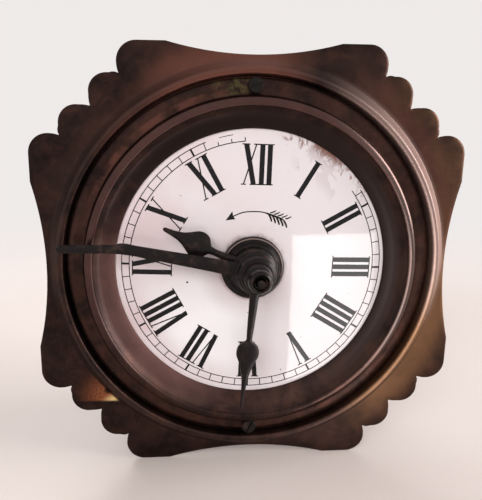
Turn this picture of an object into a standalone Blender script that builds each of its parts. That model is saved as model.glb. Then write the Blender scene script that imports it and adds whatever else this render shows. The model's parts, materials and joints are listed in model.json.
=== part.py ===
"""Travel alarm clock: a scalloped brass front on a drum case, with its geared movement inside.

The clock is drawn as its owner sees it: X to the right, Y up and Z towards the viewer, from the
centre of the dial on the face of the front frame. One empty stands that drawing upright, and one
empty on each arbor carries what turns there.
"""

import math

import bmesh
import bpy

MM = 0.001
DEGREE = math.pi / 180
TURN = 2 * math.pi
WELD = 0.001 * MM

# Fits shared by all pieces
GAP = 0.3 * MM
OVERRUN = 1.0 * MM
SHEET = 0.7 * MM

# Dial
DIAL_RADIUS = 34.6 * MM
DIAL_EDGE_HEIGHT = 0.95 * MM
DIAL_DOME = 0.7 * MM
DIAL_THICKNESS = 0.75 * MM
DIAL_FOOT_CIRCLE = 27.0 * MM
DIAL_FOOT_RADIUS = 0.9 * MM

# Bezel ring: a lip over the dial, a sloping wall, a bead and a flange
BEZEL_OVERLAP = 1.5 * MM
BEZEL_WALL_WIDTH = 4.8 * MM
BEZEL_RISE = 2.75 * MM
BEZEL_SHEET = 0.85 * MM
BEAD_RADIUS = 1.25 * MM
BEAD_RISE = 0.7 * MM
GROOVE_WIDTH = 4.2 * MM
BEZEL_SCREW_HEAD_HEIGHT = 1.1 * MM
BEZEL_SCREW_SHANK = 1.1 * MM
BEZEL_SCREW_LENGTH = 4.6 * MM
SLOT_WIDTH = 0.5 * MM
SLOT_DEPTH = 0.5 * MM
BEZEL_SLOT_ANGLES = (20 * DEGREE, 60 * DEGREE)

# Front frame: the rim stamped round the bezel, and the scalloped outline
RIM_WIDTH = 3.9 * MM
RIM_HEIGHT = 3.05 * MM
WAIST_MARGIN = 0.9 * MM
EAR_RISE = 2.7 * MM
EAR_FLAT = 6.6 * MM
EAR_CORNER = 4.6 * MM
EAR_HEIGHT = 7.1 * MM
LOBE_WIDTH = 6.8 * MM
LOBE_CORNER = 4.2 * MM

# Drum case and its back
DRUM_SCREW_MARGIN = 1.9 * MM
REAR_SPACE = 13.6 * MM
COVER_THICKNESS = 0.8 * MM
COVER_SKIRT = 3.0 * MM
COVER_SCREW_HEAD = 2.2 * MM
COVER_SCREW_HEAD_HEIGHT = 1.0 * MM
COVER_SCREW_SHANK = 0.9 * MM
COVER_SCREW_LENGTH = 4.0 * MM
SOUND_HOLE = 1.3 * MM
SOUND_INSET = 6.5 * MM
SOUND_HOLES = 6
FOOT_ANGLE = 26.0 * DEGREE
FOOT_INSET = 6.5 * MM
FOOT_RADIUS = 3.2 * MM
FOOT_NECK = 1.7 * MM
FOOT_SHARES = ((0.94, 1.0), (0.82, 0.75), (0.66, 0.2), (0.5, 0.1), (0.3, 0.5), (0.12, 0.7), (0.0, 0.4))

# Movement plates and what holds them apart
FRONT_PLATE_DEPTH = 6.0 * MM
PLATE_SPACING = 18.0 * MM
PLATE_THICKNESS = 1.2 * MM
PLATE_MARGIN = 4.8 * MM
PILLAR_MARGIN = 0.7 * MM
PILLAR_RADIUS = 1.5 * MM
PILLAR_PIVOT = 0.8 * MM
NUT_RADIUS = 1.8 * MM
NUT_HEIGHT = 1.2 * MM
PIVOT = 0.5 * MM
THIN_ARBOR = 0.6 * MM

# Teeth: every wheel and pinion has the same pointed form
ADDENDUM_SHARE = 0.75
DEDENDUM_SHARE = 1.4

# Hand work in front of the movement: wheel and pinion pairs at one centre distance
MOTION_CLEARANCE = 1.5 * MM
CANNON_LEAVES = 10
MINUTE_WHEEL_TEETH = 30
MINUTE_PINION_LEAVES = 8
HOUR_WHEEL_TEETH = 32
MOTION_ANGLE = 300.0 * DEGREE
MOTION_STEP = 1.6 * MM
MOTION_WHEEL = 0.9 * MM

# Going train, from the mainspring to the escapement
GREAT_MODULE = 0.6 * MM
GREAT_TEETH = 48
CENTRE_LEAVES = 8
GREAT_ANGLE = 210.0 * DEGREE
CENTRE_MODULE = 0.44 * MM
CENTRE_TEETH = 48
THIRD_LEAVES = 6
THIRD_ANGLE = 60.0 * DEGREE
THIRD_MODULE = 0.38 * MM
THIRD_TEETH = 45
FOURTH_LEAVES = 6
FOURTH_ANGLE = -20.0 * DEGREE
FOURTH_MODULE = 0.3 * MM
FOURTH_TEETH = 48
ESCAPE_LEAVES = 6
ESCAPE_ANGLE = -80.0 * DEGREE
ESCAPE_TEETH = 15
ESCAPE_RADIUS = 5.5 * MM
PALLET_CLEARANCE = 1.9 * MM
PALLET_ANGLE = -85.0 * DEGREE
BALANCE_CLEARANCE = 1.7 * MM
BALANCE_ANGLE = -95.0 * DEGREE
BALANCE_RADIUS = 7.5 * MM
BALANCE_RIM = 1.3 * MM
ROLLER_RADIUS = 2.4 * MM
HAIRSPRING_RADIUS = 4.6 * MM

# Alarm train
ALARM_MODULE = 0.5 * MM
ALARM_TEETH = 42
ALARM_LEAVES = 6
ALARM_DISTANCE = 21.5 * MM
ALARM_ANGLE = 130.0 * DEGREE
ALARM_ESCAPE_ANGLE = 20.0 * DEGREE
ALARM_ESCAPE_TEETH = 16
ALARM_ESCAPE_RADIUS = 5.5 * MM
ALARM_ROOT_SHARE = 0.75
HAMMER_CLEARANCE = 1.3 * MM
HAMMER_ANGLE = 110.0 * DEGREE

# How far back each wheel's front lies between the plates, as a share of their spacing
GREAT_SHARE = 0.056
SPRING_SHARE = 0.222
THIRD_SHARE = 0.294
BALANCE_SHARE = 0.394
FOURTH_SHARE = 0.467
LEVER_SHARE = 0.567
ESCAPE_SHARE = 0.689
HAIRSPRING_SHARE = 0.733
CENTRE_SHARE = 0.778
ALARM_GREAT_SHARE = 0.867
GREAT_THICKNESS = 1.0 * MM
WHEEL_THICKNESS = 0.7 * MM

# Mainsprings, ratchets and keys
SPRING_WIDTH_SHARE = 0.478
SPRING_THICKNESS = 0.5 * MM
SPRING_TURNS = 4
TIME_SPRING_CLEARANCE = 3.35 * MM
ALARM_SPRING_CLEARANCE = 2.0 * MM
RATCHET_TEETH = 14
RATCHET_RADIUS = 4.4 * MM
RATCHET_HEIGHT = 1.0 * MM
CLICK_RADIUS = 1.5 * MM
CLICK_DISTANCE = 8.0 * MM
CLICK_STUD = 0.7 * MM
WINDING_ARBOR = 1.3 * MM
KEY_STANDOFF = 3.0 * MM
KEY_SPAN = 18.0 * MM
KEY_HEIGHT = 11.0 * MM
KEY_THICKNESS = 1.6 * MM
KEY_HUB = 2.6 * MM

# Pipes and arbors at the centre, one inside the other
ALARM_ARBOR = 0.55 * MM
CENTRE_TUBE_WALL = 0.4 * MM
HOUR_PIPE_WALL = 0.6 * MM
SETTING_ARBOR = 0.8 * MM
SET_KNOB_RADIUS = 5.0 * MM
SET_KNOB_HEIGHT = 6.0 * MM
SET_KNOB_FLUTES = 18

# Heights of the hands and their turned hubs in front of the frame's face
BOSS_RADIUS = 7.7 * MM
BOSS_HEIGHT = 2.3 * MM
HOUR_HUB_RADIUS = 5.4 * MM
HOUR_HUB_HEIGHT = 2.1 * MM
MINUTE_HUB_RADIUS = 4.9 * MM
MINUTE_HUB_HEIGHT = 1.9 * MM
ALARM_HUB_RADIUS = 4.5 * MM
ALARM_HUB_HEIGHT = 2.7 * MM
KNOB_RING_RADIUS = 3.3 * MM
KNOB_RING_HEIGHT = 1.7 * MM
KNOB_DOME_RADIUS = 2.75 * MM
KNOB_DOME_HEIGHT = 3.3 * MM
KNOB_RECESS_RADIUS = 1.75 * MM
KNOB_RECESS_DEPTH = 1.3 * MM
ARBOR_TIP = 0.85 * MM
HAND_THICKNESS = 0.8 * MM

# Reach, greatest half width and direction of each hand, clockwise from twelve
HOUR_REACH = 23.8 * MM
HOUR_HALF_WIDTH = 3.25 * MM
HOUR_DIRECTION = 295.5 * DEGREE
MINUTE_REACH = 46.0 * MM
MINUTE_HALF_WIDTH = 1.7 * MM
MINUTE_DIRECTION = 281.2 * DEGREE
MINUTE_BEND = 10.4 * DEGREE
MINUTE_BEND_SHARE = 0.66
ALARM_REACH = 33.5 * MM
ALARM_HALF_WIDTH = 2.66 * MM
ALARM_DIRECTION = 185.3 * DEGREE

# Along the hand as a share of its reach, and half its width as a share of the greatest
HOUR_HAND_SHARES = (
    (0.15, 0.42), (0.36, 0.27), (0.47, 0.28), (0.50, 0.38), (0.53, 0.72), (0.57, 0.93),
    (0.62, 1.00), (0.67, 0.92), (0.72, 0.70), (0.77, 0.48), (0.83, 0.31), (0.92, 0.19),
    (1.00, 0.12),
)
MINUTE_HAND_SHARES = (
    (0.07, 1.00), (0.35, 0.87), (0.56, 0.75), (0.64, 0.74), (0.68, 0.77), (0.73, 0.60),
    (0.96, 0.56), (0.99, 0.44), (1.00, 0.25),
)
ALARM_HAND_SHARES = (
    (0.09, 0.44), (0.25, 0.36), (0.475, 0.25), (0.49, 0.42), (0.515, 0.80), (0.55, 1.00),
    (0.595, 0.98), (0.64, 0.74), (0.70, 0.48), (0.79, 0.25), (0.90, 0.16), (1.00, 0.10),
)

# Bell, hammer and levers behind the movement
BELL_ANGLE = 45.0 * DEGREE
BELL_MARGIN = 4.0 * MM
BELL_CLEARANCE = 1.6 * MM
BELL_STANDOFF = 2.2 * MM
BELL_HEIGHT = 7.2 * MM
BELL_WALL = 0.9 * MM
BELL_POST = 1.6 * MM
HAMMER_HEAD = 2.0 * MM
HAMMER_STRIKE_ANGLE = 100.0 * DEGREE
HAMMER_STANDOFF = 0.6 * MM
HAMMER_SHARE = 0.28
HAMMER_ARM = 0.6 * MM
CAM_RADIUS = 3.2 * MM
CAM_STANDOFF = 1.6 * MM
CAM_THICKNESS = 1.2 * MM
RELEASE_ANGLE = 112.5 * DEGREE
RELEASE_DISTANCE = 14.1 * MM
STOP_ANGLE = 121.5 * DEGREE
LEVER_HALF_WIDTH = 0.8 * MM
LEVER_THICKNESS = 0.7 * MM
STUD_RADIUS = 0.7 * MM
PIN_RADIUS = 0.7 * MM
PIN_STANDOFF = 3.0 * MM
STOP_PIN_ARM = 6.2 * MM
STOP_PIN_ANGLE = 225.0 * DEGREE
STOP_SWING = 12.0 * DEGREE
REGULATOR_ARM = 9.0 * MM
REGULATOR_ANGLE = -70.0 * DEGREE
REGULATOR_SWING = 20.0 * DEGREE

# Facets round a circle
FINE = 44
MEDIUM = 28
COARSE = 18
SMALL = 8
TINY = 6
SPRING_FACETS = 8

# Colour, metallic value and roughness of each finish
FINISHES = {
    "bronzed_brass": ((0.115, 0.055, 0.032, 1), 1.0, 0.38),
    "bronzed_bezel": ((0.075, 0.036, 0.024, 1), 1.0, 0.32),
    "enamel": ((0.80, 0.74, 0.72, 1), 0.0, 0.12),
    "blackened_steel": ((0.018, 0.013, 0.012, 1), 0.9, 0.36),
    "steel": ((0.30, 0.29, 0.28, 1), 1.0, 0.30),
    "brass": ((0.55, 0.38, 0.14, 1), 1.0, 0.30),
    "spring_steel": ((0.06, 0.07, 0.10, 1), 1.0, 0.25),
    "bell_metal": ((0.45, 0.40, 0.33, 1), 1.0, 0.20),
}


def polar(radius, angle, centre=(0, 0)):
    """The point at a radius and an angle, counter-clockwise from the right."""
    return (centre[0] + radius * math.cos(angle), centre[1] + radius * math.sin(angle))


def clock_angle(direction):
    """The angle of a hand that points in a direction given clockwise from twelve."""
    return TURN / 4 - direction


def aim(start, end):
    """(angle, distance) from one point to another."""
    across = end[0] - start[0]
    up = end[1] - start[1]
    return math.atan2(up, across), math.hypot(across, up)


def circle(radius, sides, centre=(0, 0)):
    return [polar(radius, TURN * side / sides, centre) for side in range(sides)]


def arc(centre, radius, start, end, steps):
    return [polar(radius, start + (end - start) * step / steps, centre) for step in range(steps + 1)]


def turned_about(points, angle):
    """The points turned about the origin."""
    cos = math.cos(angle)
    sin = math.sin(angle)
    return [(x * cos - y * sin, x * sin + y * cos) for x, y in points]


def pitch_radius(teeth, module):
    return teeth * module / 2


def tip_radius(teeth, module):
    return pitch_radius(teeth, module) + ADDENDUM_SHARE * module


def tooth_loop(teeth, tip, root, phase=0.0):
    """The outline of a wheel with pointed teeth, one of them at the phase angle."""
    step = TURN / teeth
    loop = []
    for tooth in range(teeth):
        middle = phase + tooth * step
        loop += [polar(tip, middle), polar(root, middle + step / 2)]
    return loop


def gear_loop(teeth, module, phase=0.0):
    root = pitch_radius(teeth, module) - DEDENDUM_SHARE * module
    return tooth_loop(teeth, tip_radius(teeth, module), root, phase)


def driven_phase(angle, teeth):
    """The phase that puts a gap where the wheel at the far end of the line of centres has a tooth."""
    return angle + TURN / 2 + TURN / teeth / 2


def crossings(count, inner, outer, spoke, steps):
    """The holes between the spokes of a wheel."""
    loops = []
    for hole in range(count):
        start = TURN * hole / count
        end = start + TURN / count
        wide = math.asin(spoke / 2 / outer)
        narrow = math.asin(spoke / 2 / inner)
        far_side = arc((0, 0), outer, start + wide, end - wide, steps)
        near_side = arc((0, 0), inner, end - narrow, start + narrow, 1)
        loops.append(far_side + near_side)
    return loops


def blade(shares, reach, half_width, angle):
    """The outline of a hand or lever from its half widths along one straight line."""
    right = [(along * reach, -wide * half_width) for along, wide in shares]
    left = [(along * reach, wide * half_width) for along, wide in reversed(shares)]
    return turned_about(right + left, angle)


def bar(start, end, half_width):
    """A straight bar with a round far end."""
    angle, length = aim(start, end)
    corners = [polar(half_width, angle + TURN / 4, start), polar(half_width, angle - TURN / 4, start)]
    round_end = arc(end, half_width, angle - TURN / 4, angle + TURN / 4, 4)
    return [corners[0], corners[1]] + round_end


def collection(name):
    made = bpy.data.collections.new(name)
    bpy.context.scene.collection.children.link(made)
    return made


def clear_scene():
    for obj in list(bpy.data.objects):
        bpy.data.objects.remove(obj)


def shade(mesh):
    mesh.shade_smooth()
    mesh.set_sharp_from_angle(angle=TURN / 12)


def baked(obj, weld, scale=1.0):
    """The evaluated mesh of an object, with loose caps welded, and the object removed."""
    bpy.context.view_layer.update()
    graph = bpy.context.evaluated_depsgraph_get()
    mesh = bpy.data.meshes.new_from_object(obj.evaluated_get(graph))
    bpy.data.objects.remove(obj)
    form = bmesh.new()
    form.from_mesh(mesh)
    bmesh.ops.scale(form, verts=form.verts, vec=(scale, scale, scale))
    bmesh.ops.remove_doubles(form, verts=form.verts, dist=weld)
    bmesh.ops.recalc_face_normals(form, faces=form.faces)
    form.to_mesh(mesh)
    form.free()
    shade(mesh)
    return mesh


def flat_mesh(loops, bottom, top):
    """A flat plate between two heights, with every loop after the first cut out of it.

    The curve is drawn in millimetres, because the fill of a curve is too coarse for metres.
    """
    curve = bpy.data.curves.new("outline", "CURVE")
    curve.dimensions = "2D"
    curve.fill_mode = "BOTH"
    curve.extrude = (top - bottom) / 2 / MM
    for loop in loops:
        spline = curve.splines.new("POLY")
        spline.points.add(len(loop) - 1)
        for point, (x, y) in zip(spline.points, loop):
            point.co = (x / MM, y / MM, 0, 1)
        spline.use_cyclic_u = True
    drawn = bpy.data.objects.new("outline", curve)
    bpy.context.scene.collection.objects.link(drawn)
    mesh = baked(drawn, WELD, MM)
    for vertex in mesh.vertices:
        vertex.co.z += (top + bottom) / 2
    return mesh


def turned_mesh(profile, sides):
    """A closed profile of (radius, height) points turned about Z.

    A profile that starts and ends on the axis makes a solid piece, any other a ring.
    """
    area = 0
    for (radius, height), (next_radius, next_height) in zip(profile, profile[1:] + profile[:1]):
        area += radius * next_height - next_radius * height
    points = profile if area < 0 else profile[::-1]
    solid = points[0][0] == 0 and points[-1][0] == 0
    form = bmesh.new()
    line = [form.verts.new((radius, 0, height)) for radius, height in points]
    for here, there in zip(line, line[1:]):
        form.edges.new((here, there))
    if not solid:
        form.edges.new((line[-1], line[0]))
    mesh = bpy.data.meshes.new("profile")
    form.to_mesh(mesh)
    form.free()
    piece = bpy.data.objects.new("profile", mesh)
    bpy.context.scene.collection.objects.link(piece)
    turn = piece.modifiers.new("turn", "SCREW")
    turn.steps = sides
    turn.render_steps = sides
    turn.use_merge_vertices = True
    turn.merge_threshold = WELD
    turn.use_smooth_shade = True
    return baked(piece, WELD)


def rod(radius, bottom, top):
    """The profile of a plain round rod."""
    return [(0, top), (radius, top), (radius, bottom), (0, bottom)]


def tube(inner, outer, bottom, top):
    """The profile of a plain ring."""
    return [(inner, top), (outer, top), (outer, bottom), (inner, bottom)]


def moved(mesh, place):
    for vertex in mesh.vertices:
        vertex.co.x += place[0]
        vertex.co.y += place[1]
    return mesh


def gathered(meshes):
    """Separate solids as one mesh."""
    form = bmesh.new()
    for mesh in meshes:
        form.from_mesh(mesh)
        bpy.data.meshes.remove(mesh)
    together = bpy.data.meshes.new("group")
    form.to_mesh(together)
    form.free()
    shade(together)
    return together


class Clock:
    """The collections, the finishes and the empties that carry the pieces."""

    def __init__(self, name, place):
        self.pieces = collection(name)
        self.cutters = collection(name + "_cutters")
        self.finishes = {}
        for finish, (colour, metallic, roughness) in FINISHES.items():
            material = bpy.data.materials.new(finish)
            material.use_nodes = True
            shader = material.node_tree.nodes["Principled BSDF"]
            shader.inputs["Base Color"].default_value = colour
            shader.inputs["Metallic"].default_value = metallic
            shader.inputs["Roughness"].default_value = roughness
            self.finishes[finish] = material
        self.face = self.empty("clock_face", None, place)
        self.face.rotation_euler = (TURN / 4, 0, 0)

    def empty(self, name, parent, place):
        made = bpy.data.objects.new(name, None)
        made.location = place
        made.parent = parent
        made.empty_display_size = DIAL_HOLE
        self.pieces.objects.link(made)
        return made

    def axis(self, name, place):
        """An empty on a joint's axis, where what turns there hangs."""
        return self.empty(name, self.face, (place[0], place[1], 0))

    def piece(self, name, mesh, finish, carrier=None, place=(0, 0), angle=0):
        mesh.name = name
        mesh.materials.clear()
        material = self.finishes[finish].copy()
        material.name = name + "_" + finish
        mesh.materials.append(material)
        made = bpy.data.objects.new(name, mesh)
        made.parent = carrier or self.face
        made.location = (place[0], place[1], 0)
        made.rotation_euler = (0, 0, angle)
        self.pieces.objects.link(made)
        return made

    def helper(self, name, mesh, carrier):
        made = bpy.data.objects.new(name, mesh)
        made.parent = carrier
        made.hide_render = True
        made.display_type = "WIRE"
        self.cutters.objects.link(made)
        return made

    def join(self, target, mesh, operation, carrier=None):
        """Adds or cuts a shape that is drawn about the target's own origin."""
        count = len(target.modifiers)
        other = self.helper(f"{target.name}_{operation.lower()}_{count}", mesh, carrier or target)
        step = target.modifiers.new(f"{operation.lower()} {count}", "BOOLEAN")
        step.operation = operation
        step.object = other
        step.solver = "EXACT"
        return target

    def add(self, target, mesh):
        return self.join(target, mesh, "UNION")

    def cut(self, target, mesh, carrier=None):
        return self.join(target, mesh, "DIFFERENCE", carrier)

    def finish(self):
        """Bakes each piece's modifiers, so that its new edges are shaded by angle too."""
        bpy.context.view_layer.update()
        graph = bpy.context.evaluated_depsgraph_get()
        made = [piece for piece in self.pieces.objects if piece.type == "MESH" and piece.modifiers]
        meshes = [bpy.data.meshes.new_from_object(piece.evaluated_get(graph)) for piece in made]
        for piece, mesh in zip(made, meshes):
            mesh.name = piece.name
            piece.modifiers.clear()
            piece.data = mesh
            shade(mesh)


# Radii of the front, each from the one inside it
CENTRE_TUBE_INNER = ALARM_ARBOR + GAP
CENTRE_TUBE = CENTRE_TUBE_INNER + CENTRE_TUBE_WALL
HOUR_PIPE_INNER = CENTRE_TUBE + GAP
HOUR_PIPE = HOUR_PIPE_INNER + HOUR_PIPE_WALL
DIAL_HOLE = HOUR_PIPE + 1.5 * GAP
FRAME_HOLE = DIAL_RADIUS + 2 * GAP
BEZEL_LIP = DIAL_RADIUS - BEZEL_OVERLAP
BEZEL_EDGE = BEZEL_LIP + BEZEL_WALL_WIDTH
BEAD_CREST = BEZEL_EDGE + BEAD_RADIUS
BEAD_FOOT = BEAD_CREST + BEAD_RADIUS
BEZEL_SCREW_CIRCLE = BEAD_FOOT + GAP + GROOVE_WIDTH / 2
BEZEL_SCREW_HEAD = GROOVE_WIDTH / 2 - GAP
RIM_INNER = BEAD_FOOT + GROOVE_WIDTH + GAP
RIM_OUTER = RIM_INNER + RIM_WIDTH
FRAME_WAIST = RIM_OUTER + WAIST_MARGIN
FRAME_HALF = FRAME_WAIST + EAR_RISE
LOBE_TOP = FRAME_HALF - EAR_HEIGHT
LOBE_SIDE = LOBE_TOP - LOBE_WIDTH
EAR_SIDE = LOBE_SIDE - LOBE_WIDTH
EAR_START = EAR_SIDE - EAR_CORNER - EAR_FLAT
DRUM_RADIUS = BEZEL_SCREW_CIRCLE - BEZEL_SCREW_SHANK - GAP - DRUM_SCREW_MARGIN
DRUM_INNER = DRUM_RADIUS - SHEET
DRUM_FLANGE = BEZEL_SCREW_CIRCLE + BEZEL_SCREW_HEAD + GAP
PLATE_RADIUS = DRUM_INNER - PLATE_MARGIN
PILLAR_CIRCLE = PLATE_RADIUS - PILLAR_RADIUS - PILLAR_MARGIN

# Heights, from the face of the frame towards the viewer
BEZEL_LIP_HEIGHT = DIAL_EDGE_HEIGHT + GAP
BEZEL_EDGE_HEIGHT = BEZEL_LIP_HEIGHT + BEZEL_RISE
BEAD_HEIGHT = BEZEL_EDGE_HEIGHT + BEAD_RISE
GROOVE_HEIGHT = GAP + BEZEL_SHEET
BOSS_BASE = DIAL_EDGE_HEIGHT + DIAL_DOME + GAP
HOUR_HUB_BASE = BOSS_BASE + BOSS_HEIGHT + GAP
MINUTE_HUB_BASE = HOUR_HUB_BASE + HOUR_HUB_HEIGHT + GAP
ALARM_HUB_BASE = MINUTE_HUB_BASE + MINUTE_HUB_HEIGHT + GAP
KNOB_BASE = ALARM_HUB_BASE + ALARM_HUB_HEIGHT + GAP
KNOB_TOP = KNOB_BASE + KNOB_RING_HEIGHT + KNOB_DOME_HEIGHT
ARBOR_FRONT = KNOB_TOP + GAP
FRONT_PLATE_FACE = -FRONT_PLATE_DEPTH
FRONT_PLATE_BACK = FRONT_PLATE_FACE - PLATE_THICKNESS
BACK_PLATE_FACE = FRONT_PLATE_BACK - PLATE_SPACING
BACK_PLATE_BACK = BACK_PLATE_FACE - PLATE_THICKNESS
ARBOR_TOP = FRONT_PLATE_BACK - GAP
ARBOR_BOTTOM = BACK_PLATE_FACE + GAP

# Depths behind the face of the frame
DRUM_DEPTH = REAR_SPACE - BACK_PLATE_BACK
FOOT_DEPTH = DRUM_DEPTH - FOOT_INSET
GREAT_DEPTH = GREAT_SHARE * PLATE_SPACING - FRONT_PLATE_BACK
SPRING_DEPTH = SPRING_SHARE * PLATE_SPACING - FRONT_PLATE_BACK
SPRING_WIDTH = SPRING_WIDTH_SHARE * PLATE_SPACING
ALARM_ESCAPE_DEPTH = GREAT_DEPTH
THIRD_DEPTH = THIRD_SHARE * PLATE_SPACING - FRONT_PLATE_BACK
BALANCE_DEPTH = BALANCE_SHARE * PLATE_SPACING - FRONT_PLATE_BACK
FOURTH_DEPTH = FOURTH_SHARE * PLATE_SPACING - FRONT_PLATE_BACK
LEVER_DEPTH = LEVER_SHARE * PLATE_SPACING - FRONT_PLATE_BACK
ESCAPE_DEPTH = ESCAPE_SHARE * PLATE_SPACING - FRONT_PLATE_BACK
HAIRSPRING_DEPTH = HAIRSPRING_SHARE * PLATE_SPACING - FRONT_PLATE_BACK
CENTRE_DEPTH = CENTRE_SHARE * PLATE_SPACING - FRONT_PLATE_BACK
ALARM_GREAT_DEPTH = ALARM_GREAT_SHARE * PLATE_SPACING - FRONT_PLATE_BACK
REGULATOR_DEPTH = GAP - BACK_PLATE_BACK
CAM_DEPTH = CAM_STANDOFF - BACK_PLATE_BACK
BELL_DEPTH = BELL_STANDOFF - BACK_PLATE_BACK
HAMMER_DEPTH = BELL_DEPTH + HAMMER_SHARE * BELL_HEIGHT
COVER_FACE = -DRUM_DEPTH - GAP
COVER_BACK = COVER_FACE - COVER_THICKNESS
PIN_END = COVER_BACK - PIN_STANDOFF
KEY_BASE = COVER_BACK - KEY_STANDOFF
KEY_REACH = KEY_BASE - KEY_HEIGHT
MIDDLE_DEPTH = (ARBOR_FRONT + KEY_REACH) / 2

# Centre distances, and the places of the arbors that follow from them
CENTRE = (0, 0)
MOTION_DISTANCE = tip_radius(CENTRE_TEETH, CENTRE_MODULE) + SETTING_ARBOR + MOTION_CLEARANCE
MOTION_MODULE = 2 * MOTION_DISTANCE / (CANNON_LEAVES + MINUTE_WHEEL_TEETH)
GREAT_DISTANCE = pitch_radius(GREAT_TEETH + CENTRE_LEAVES, GREAT_MODULE)
THIRD_DISTANCE = pitch_radius(CENTRE_TEETH + THIRD_LEAVES, CENTRE_MODULE)
FOURTH_DISTANCE = pitch_radius(THIRD_TEETH + FOURTH_LEAVES, THIRD_MODULE)
ESCAPE_DISTANCE = pitch_radius(FOURTH_TEETH + ESCAPE_LEAVES, FOURTH_MODULE)
PALLET_DISTANCE = ESCAPE_RADIUS + PALLET_CLEARANCE
BALANCE_DISTANCE = BALANCE_RADIUS + BALANCE_CLEARANCE
ALARM_ESCAPE_DISTANCE = pitch_radius(ALARM_TEETH + ALARM_LEAVES, ALARM_MODULE)
HAMMER_DISTANCE = ALARM_ESCAPE_RADIUS + HAMMER_CLEARANCE
TIME_SPRING_RADIUS = GREAT_DISTANCE - CENTRE_TUBE - TIME_SPRING_CLEARANCE
ALARM_SPRING_RADIUS = ALARM_ESCAPE_DISTANCE - THIN_ARBOR - ALARM_SPRING_CLEARANCE
BELL_RADIUS = (DRUM_INNER - BELL_MARGIN - CAM_RADIUS - BELL_CLEARANCE) / 2
BELL_DISTANCE = DRUM_INNER - BELL_RADIUS - BELL_MARGIN
SOUND_CIRCLE = BELL_RADIUS - SOUND_INSET
SETTING_PLACE = polar(MOTION_DISTANCE, MOTION_ANGLE)
GREAT_PLACE = polar(GREAT_DISTANCE, GREAT_ANGLE)
THIRD_PLACE = polar(THIRD_DISTANCE, THIRD_ANGLE)
FOURTH_PLACE = polar(FOURTH_DISTANCE, FOURTH_ANGLE, THIRD_PLACE)
ESCAPE_PLACE = polar(ESCAPE_DISTANCE, ESCAPE_ANGLE, FOURTH_PLACE)
PALLET_PLACE = polar(PALLET_DISTANCE, PALLET_ANGLE, ESCAPE_PLACE)
BALANCE_PLACE = polar(BALANCE_DISTANCE, BALANCE_ANGLE, PALLET_PLACE)
ALARM_PLACE = polar(ALARM_DISTANCE, ALARM_ANGLE)
ALARM_ESCAPE_PLACE = polar(ALARM_ESCAPE_DISTANCE, ALARM_ESCAPE_ANGLE, ALARM_PLACE)
HAMMER_PLACE = polar(HAMMER_DISTANCE, HAMMER_ANGLE, ALARM_ESCAPE_PLACE)
BELL_PLACE = polar(BELL_DISTANCE, BELL_ANGLE)
RELEASE_PLACE = polar(RELEASE_DISTANCE, RELEASE_ANGLE)
STOP_PLACE = polar(PILLAR_CIRCLE, STOP_ANGLE)


def beside(distance, reach):
    """How far round the pillar circle a post clears something at a distance from the centre."""
    cosine = (PILLAR_CIRCLE**2 + distance**2 - reach**2) / (2 * PILLAR_CIRCLE * distance)
    return math.acos(min(cosine, 1.0))


POST_RADIUS = COVER_SCREW_SHANK + GAP + SHEET
GREAT_REACH = tip_radius(GREAT_TEETH, GREAT_MODULE) + PILLAR_RADIUS + 2 * GAP
BELL_REACH = BELL_RADIUS + POST_RADIUS + 2 * GAP
PILLAR_ANGLES = (
    165 * DEGREE,
    GREAT_ANGLE + beside(GREAT_DISTANCE, GREAT_REACH),
    345 * DEGREE,
    75 * DEGREE,
)
POST_ANGLES = (BELL_ANGLE - beside(BELL_DISTANCE, BELL_REACH), 142 * DEGREE, 265 * DEGREE)
PILLAR_PLACES = [polar(PILLAR_CIRCLE, angle) for angle in PILLAR_ANGLES]
POST_PLACES = [polar(PILLAR_CIRCLE, angle) for angle in POST_ANGLES]
DIAL_FOOT_PLACES = [polar(DIAL_FOOT_CIRCLE, TURN / 12 + TURN * foot / 3) for foot in range(3)]
BEZEL_SCREW_PLACES = [(0, BEZEL_SCREW_CIRCLE), (0, -BEZEL_SCREW_CIRCLE)]


def frame_outline():
    """The scalloped outline: two ears a side, and two lobes at each corner."""
    rise = FRAME_HALF - FRAME_WAIST
    hollow = (EAR_START**2 + rise**2) / (2 * rise)
    eighth = []
    steps = 4
    for step in range(1, steps + 1):
        x = EAR_START * step / steps
        eighth.append((x, FRAME_WAIST + hollow - math.sqrt(hollow**2 - x**2)))
    ear = (EAR_SIDE - EAR_CORNER, FRAME_HALF - EAR_CORNER)
    eighth += arc(ear, EAR_CORNER, TURN / 4, 0, 3)
    eighth.append((EAR_SIDE, LOBE_TOP))
    lobe = (LOBE_SIDE - LOBE_CORNER, LOBE_TOP - LOBE_CORNER)
    eighth += arc(lobe, LOBE_CORNER, TURN / 4, 0, 3)
    corner = [(LOBE_SIDE, LOBE_SIDE)]
    other_eighth = [(y, x) for x, y in reversed(eighth)]
    quarter = [(0, FRAME_WAIST)] + eighth + corner + other_eighth
    outline = []
    for side in range(4):
        outline += turned_about(quarter, -TURN * side / 4)
    return outline


def rim_profile():
    """(radius, height) rows of the stamped rim, from its outer foot to the hole of the frame."""
    width = RIM_OUTER - RIM_INNER
    shares = ((1.0, 0.0), (0.72, 0.40), (0.44, 1.0), (0.10, 0.88))
    rows = [(RIM_INNER + across * width, up * RIM_HEIGHT) for across, up in shares]
    return rows + [(RIM_INNER, 0), (FRAME_HOLE, 0)]


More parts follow.
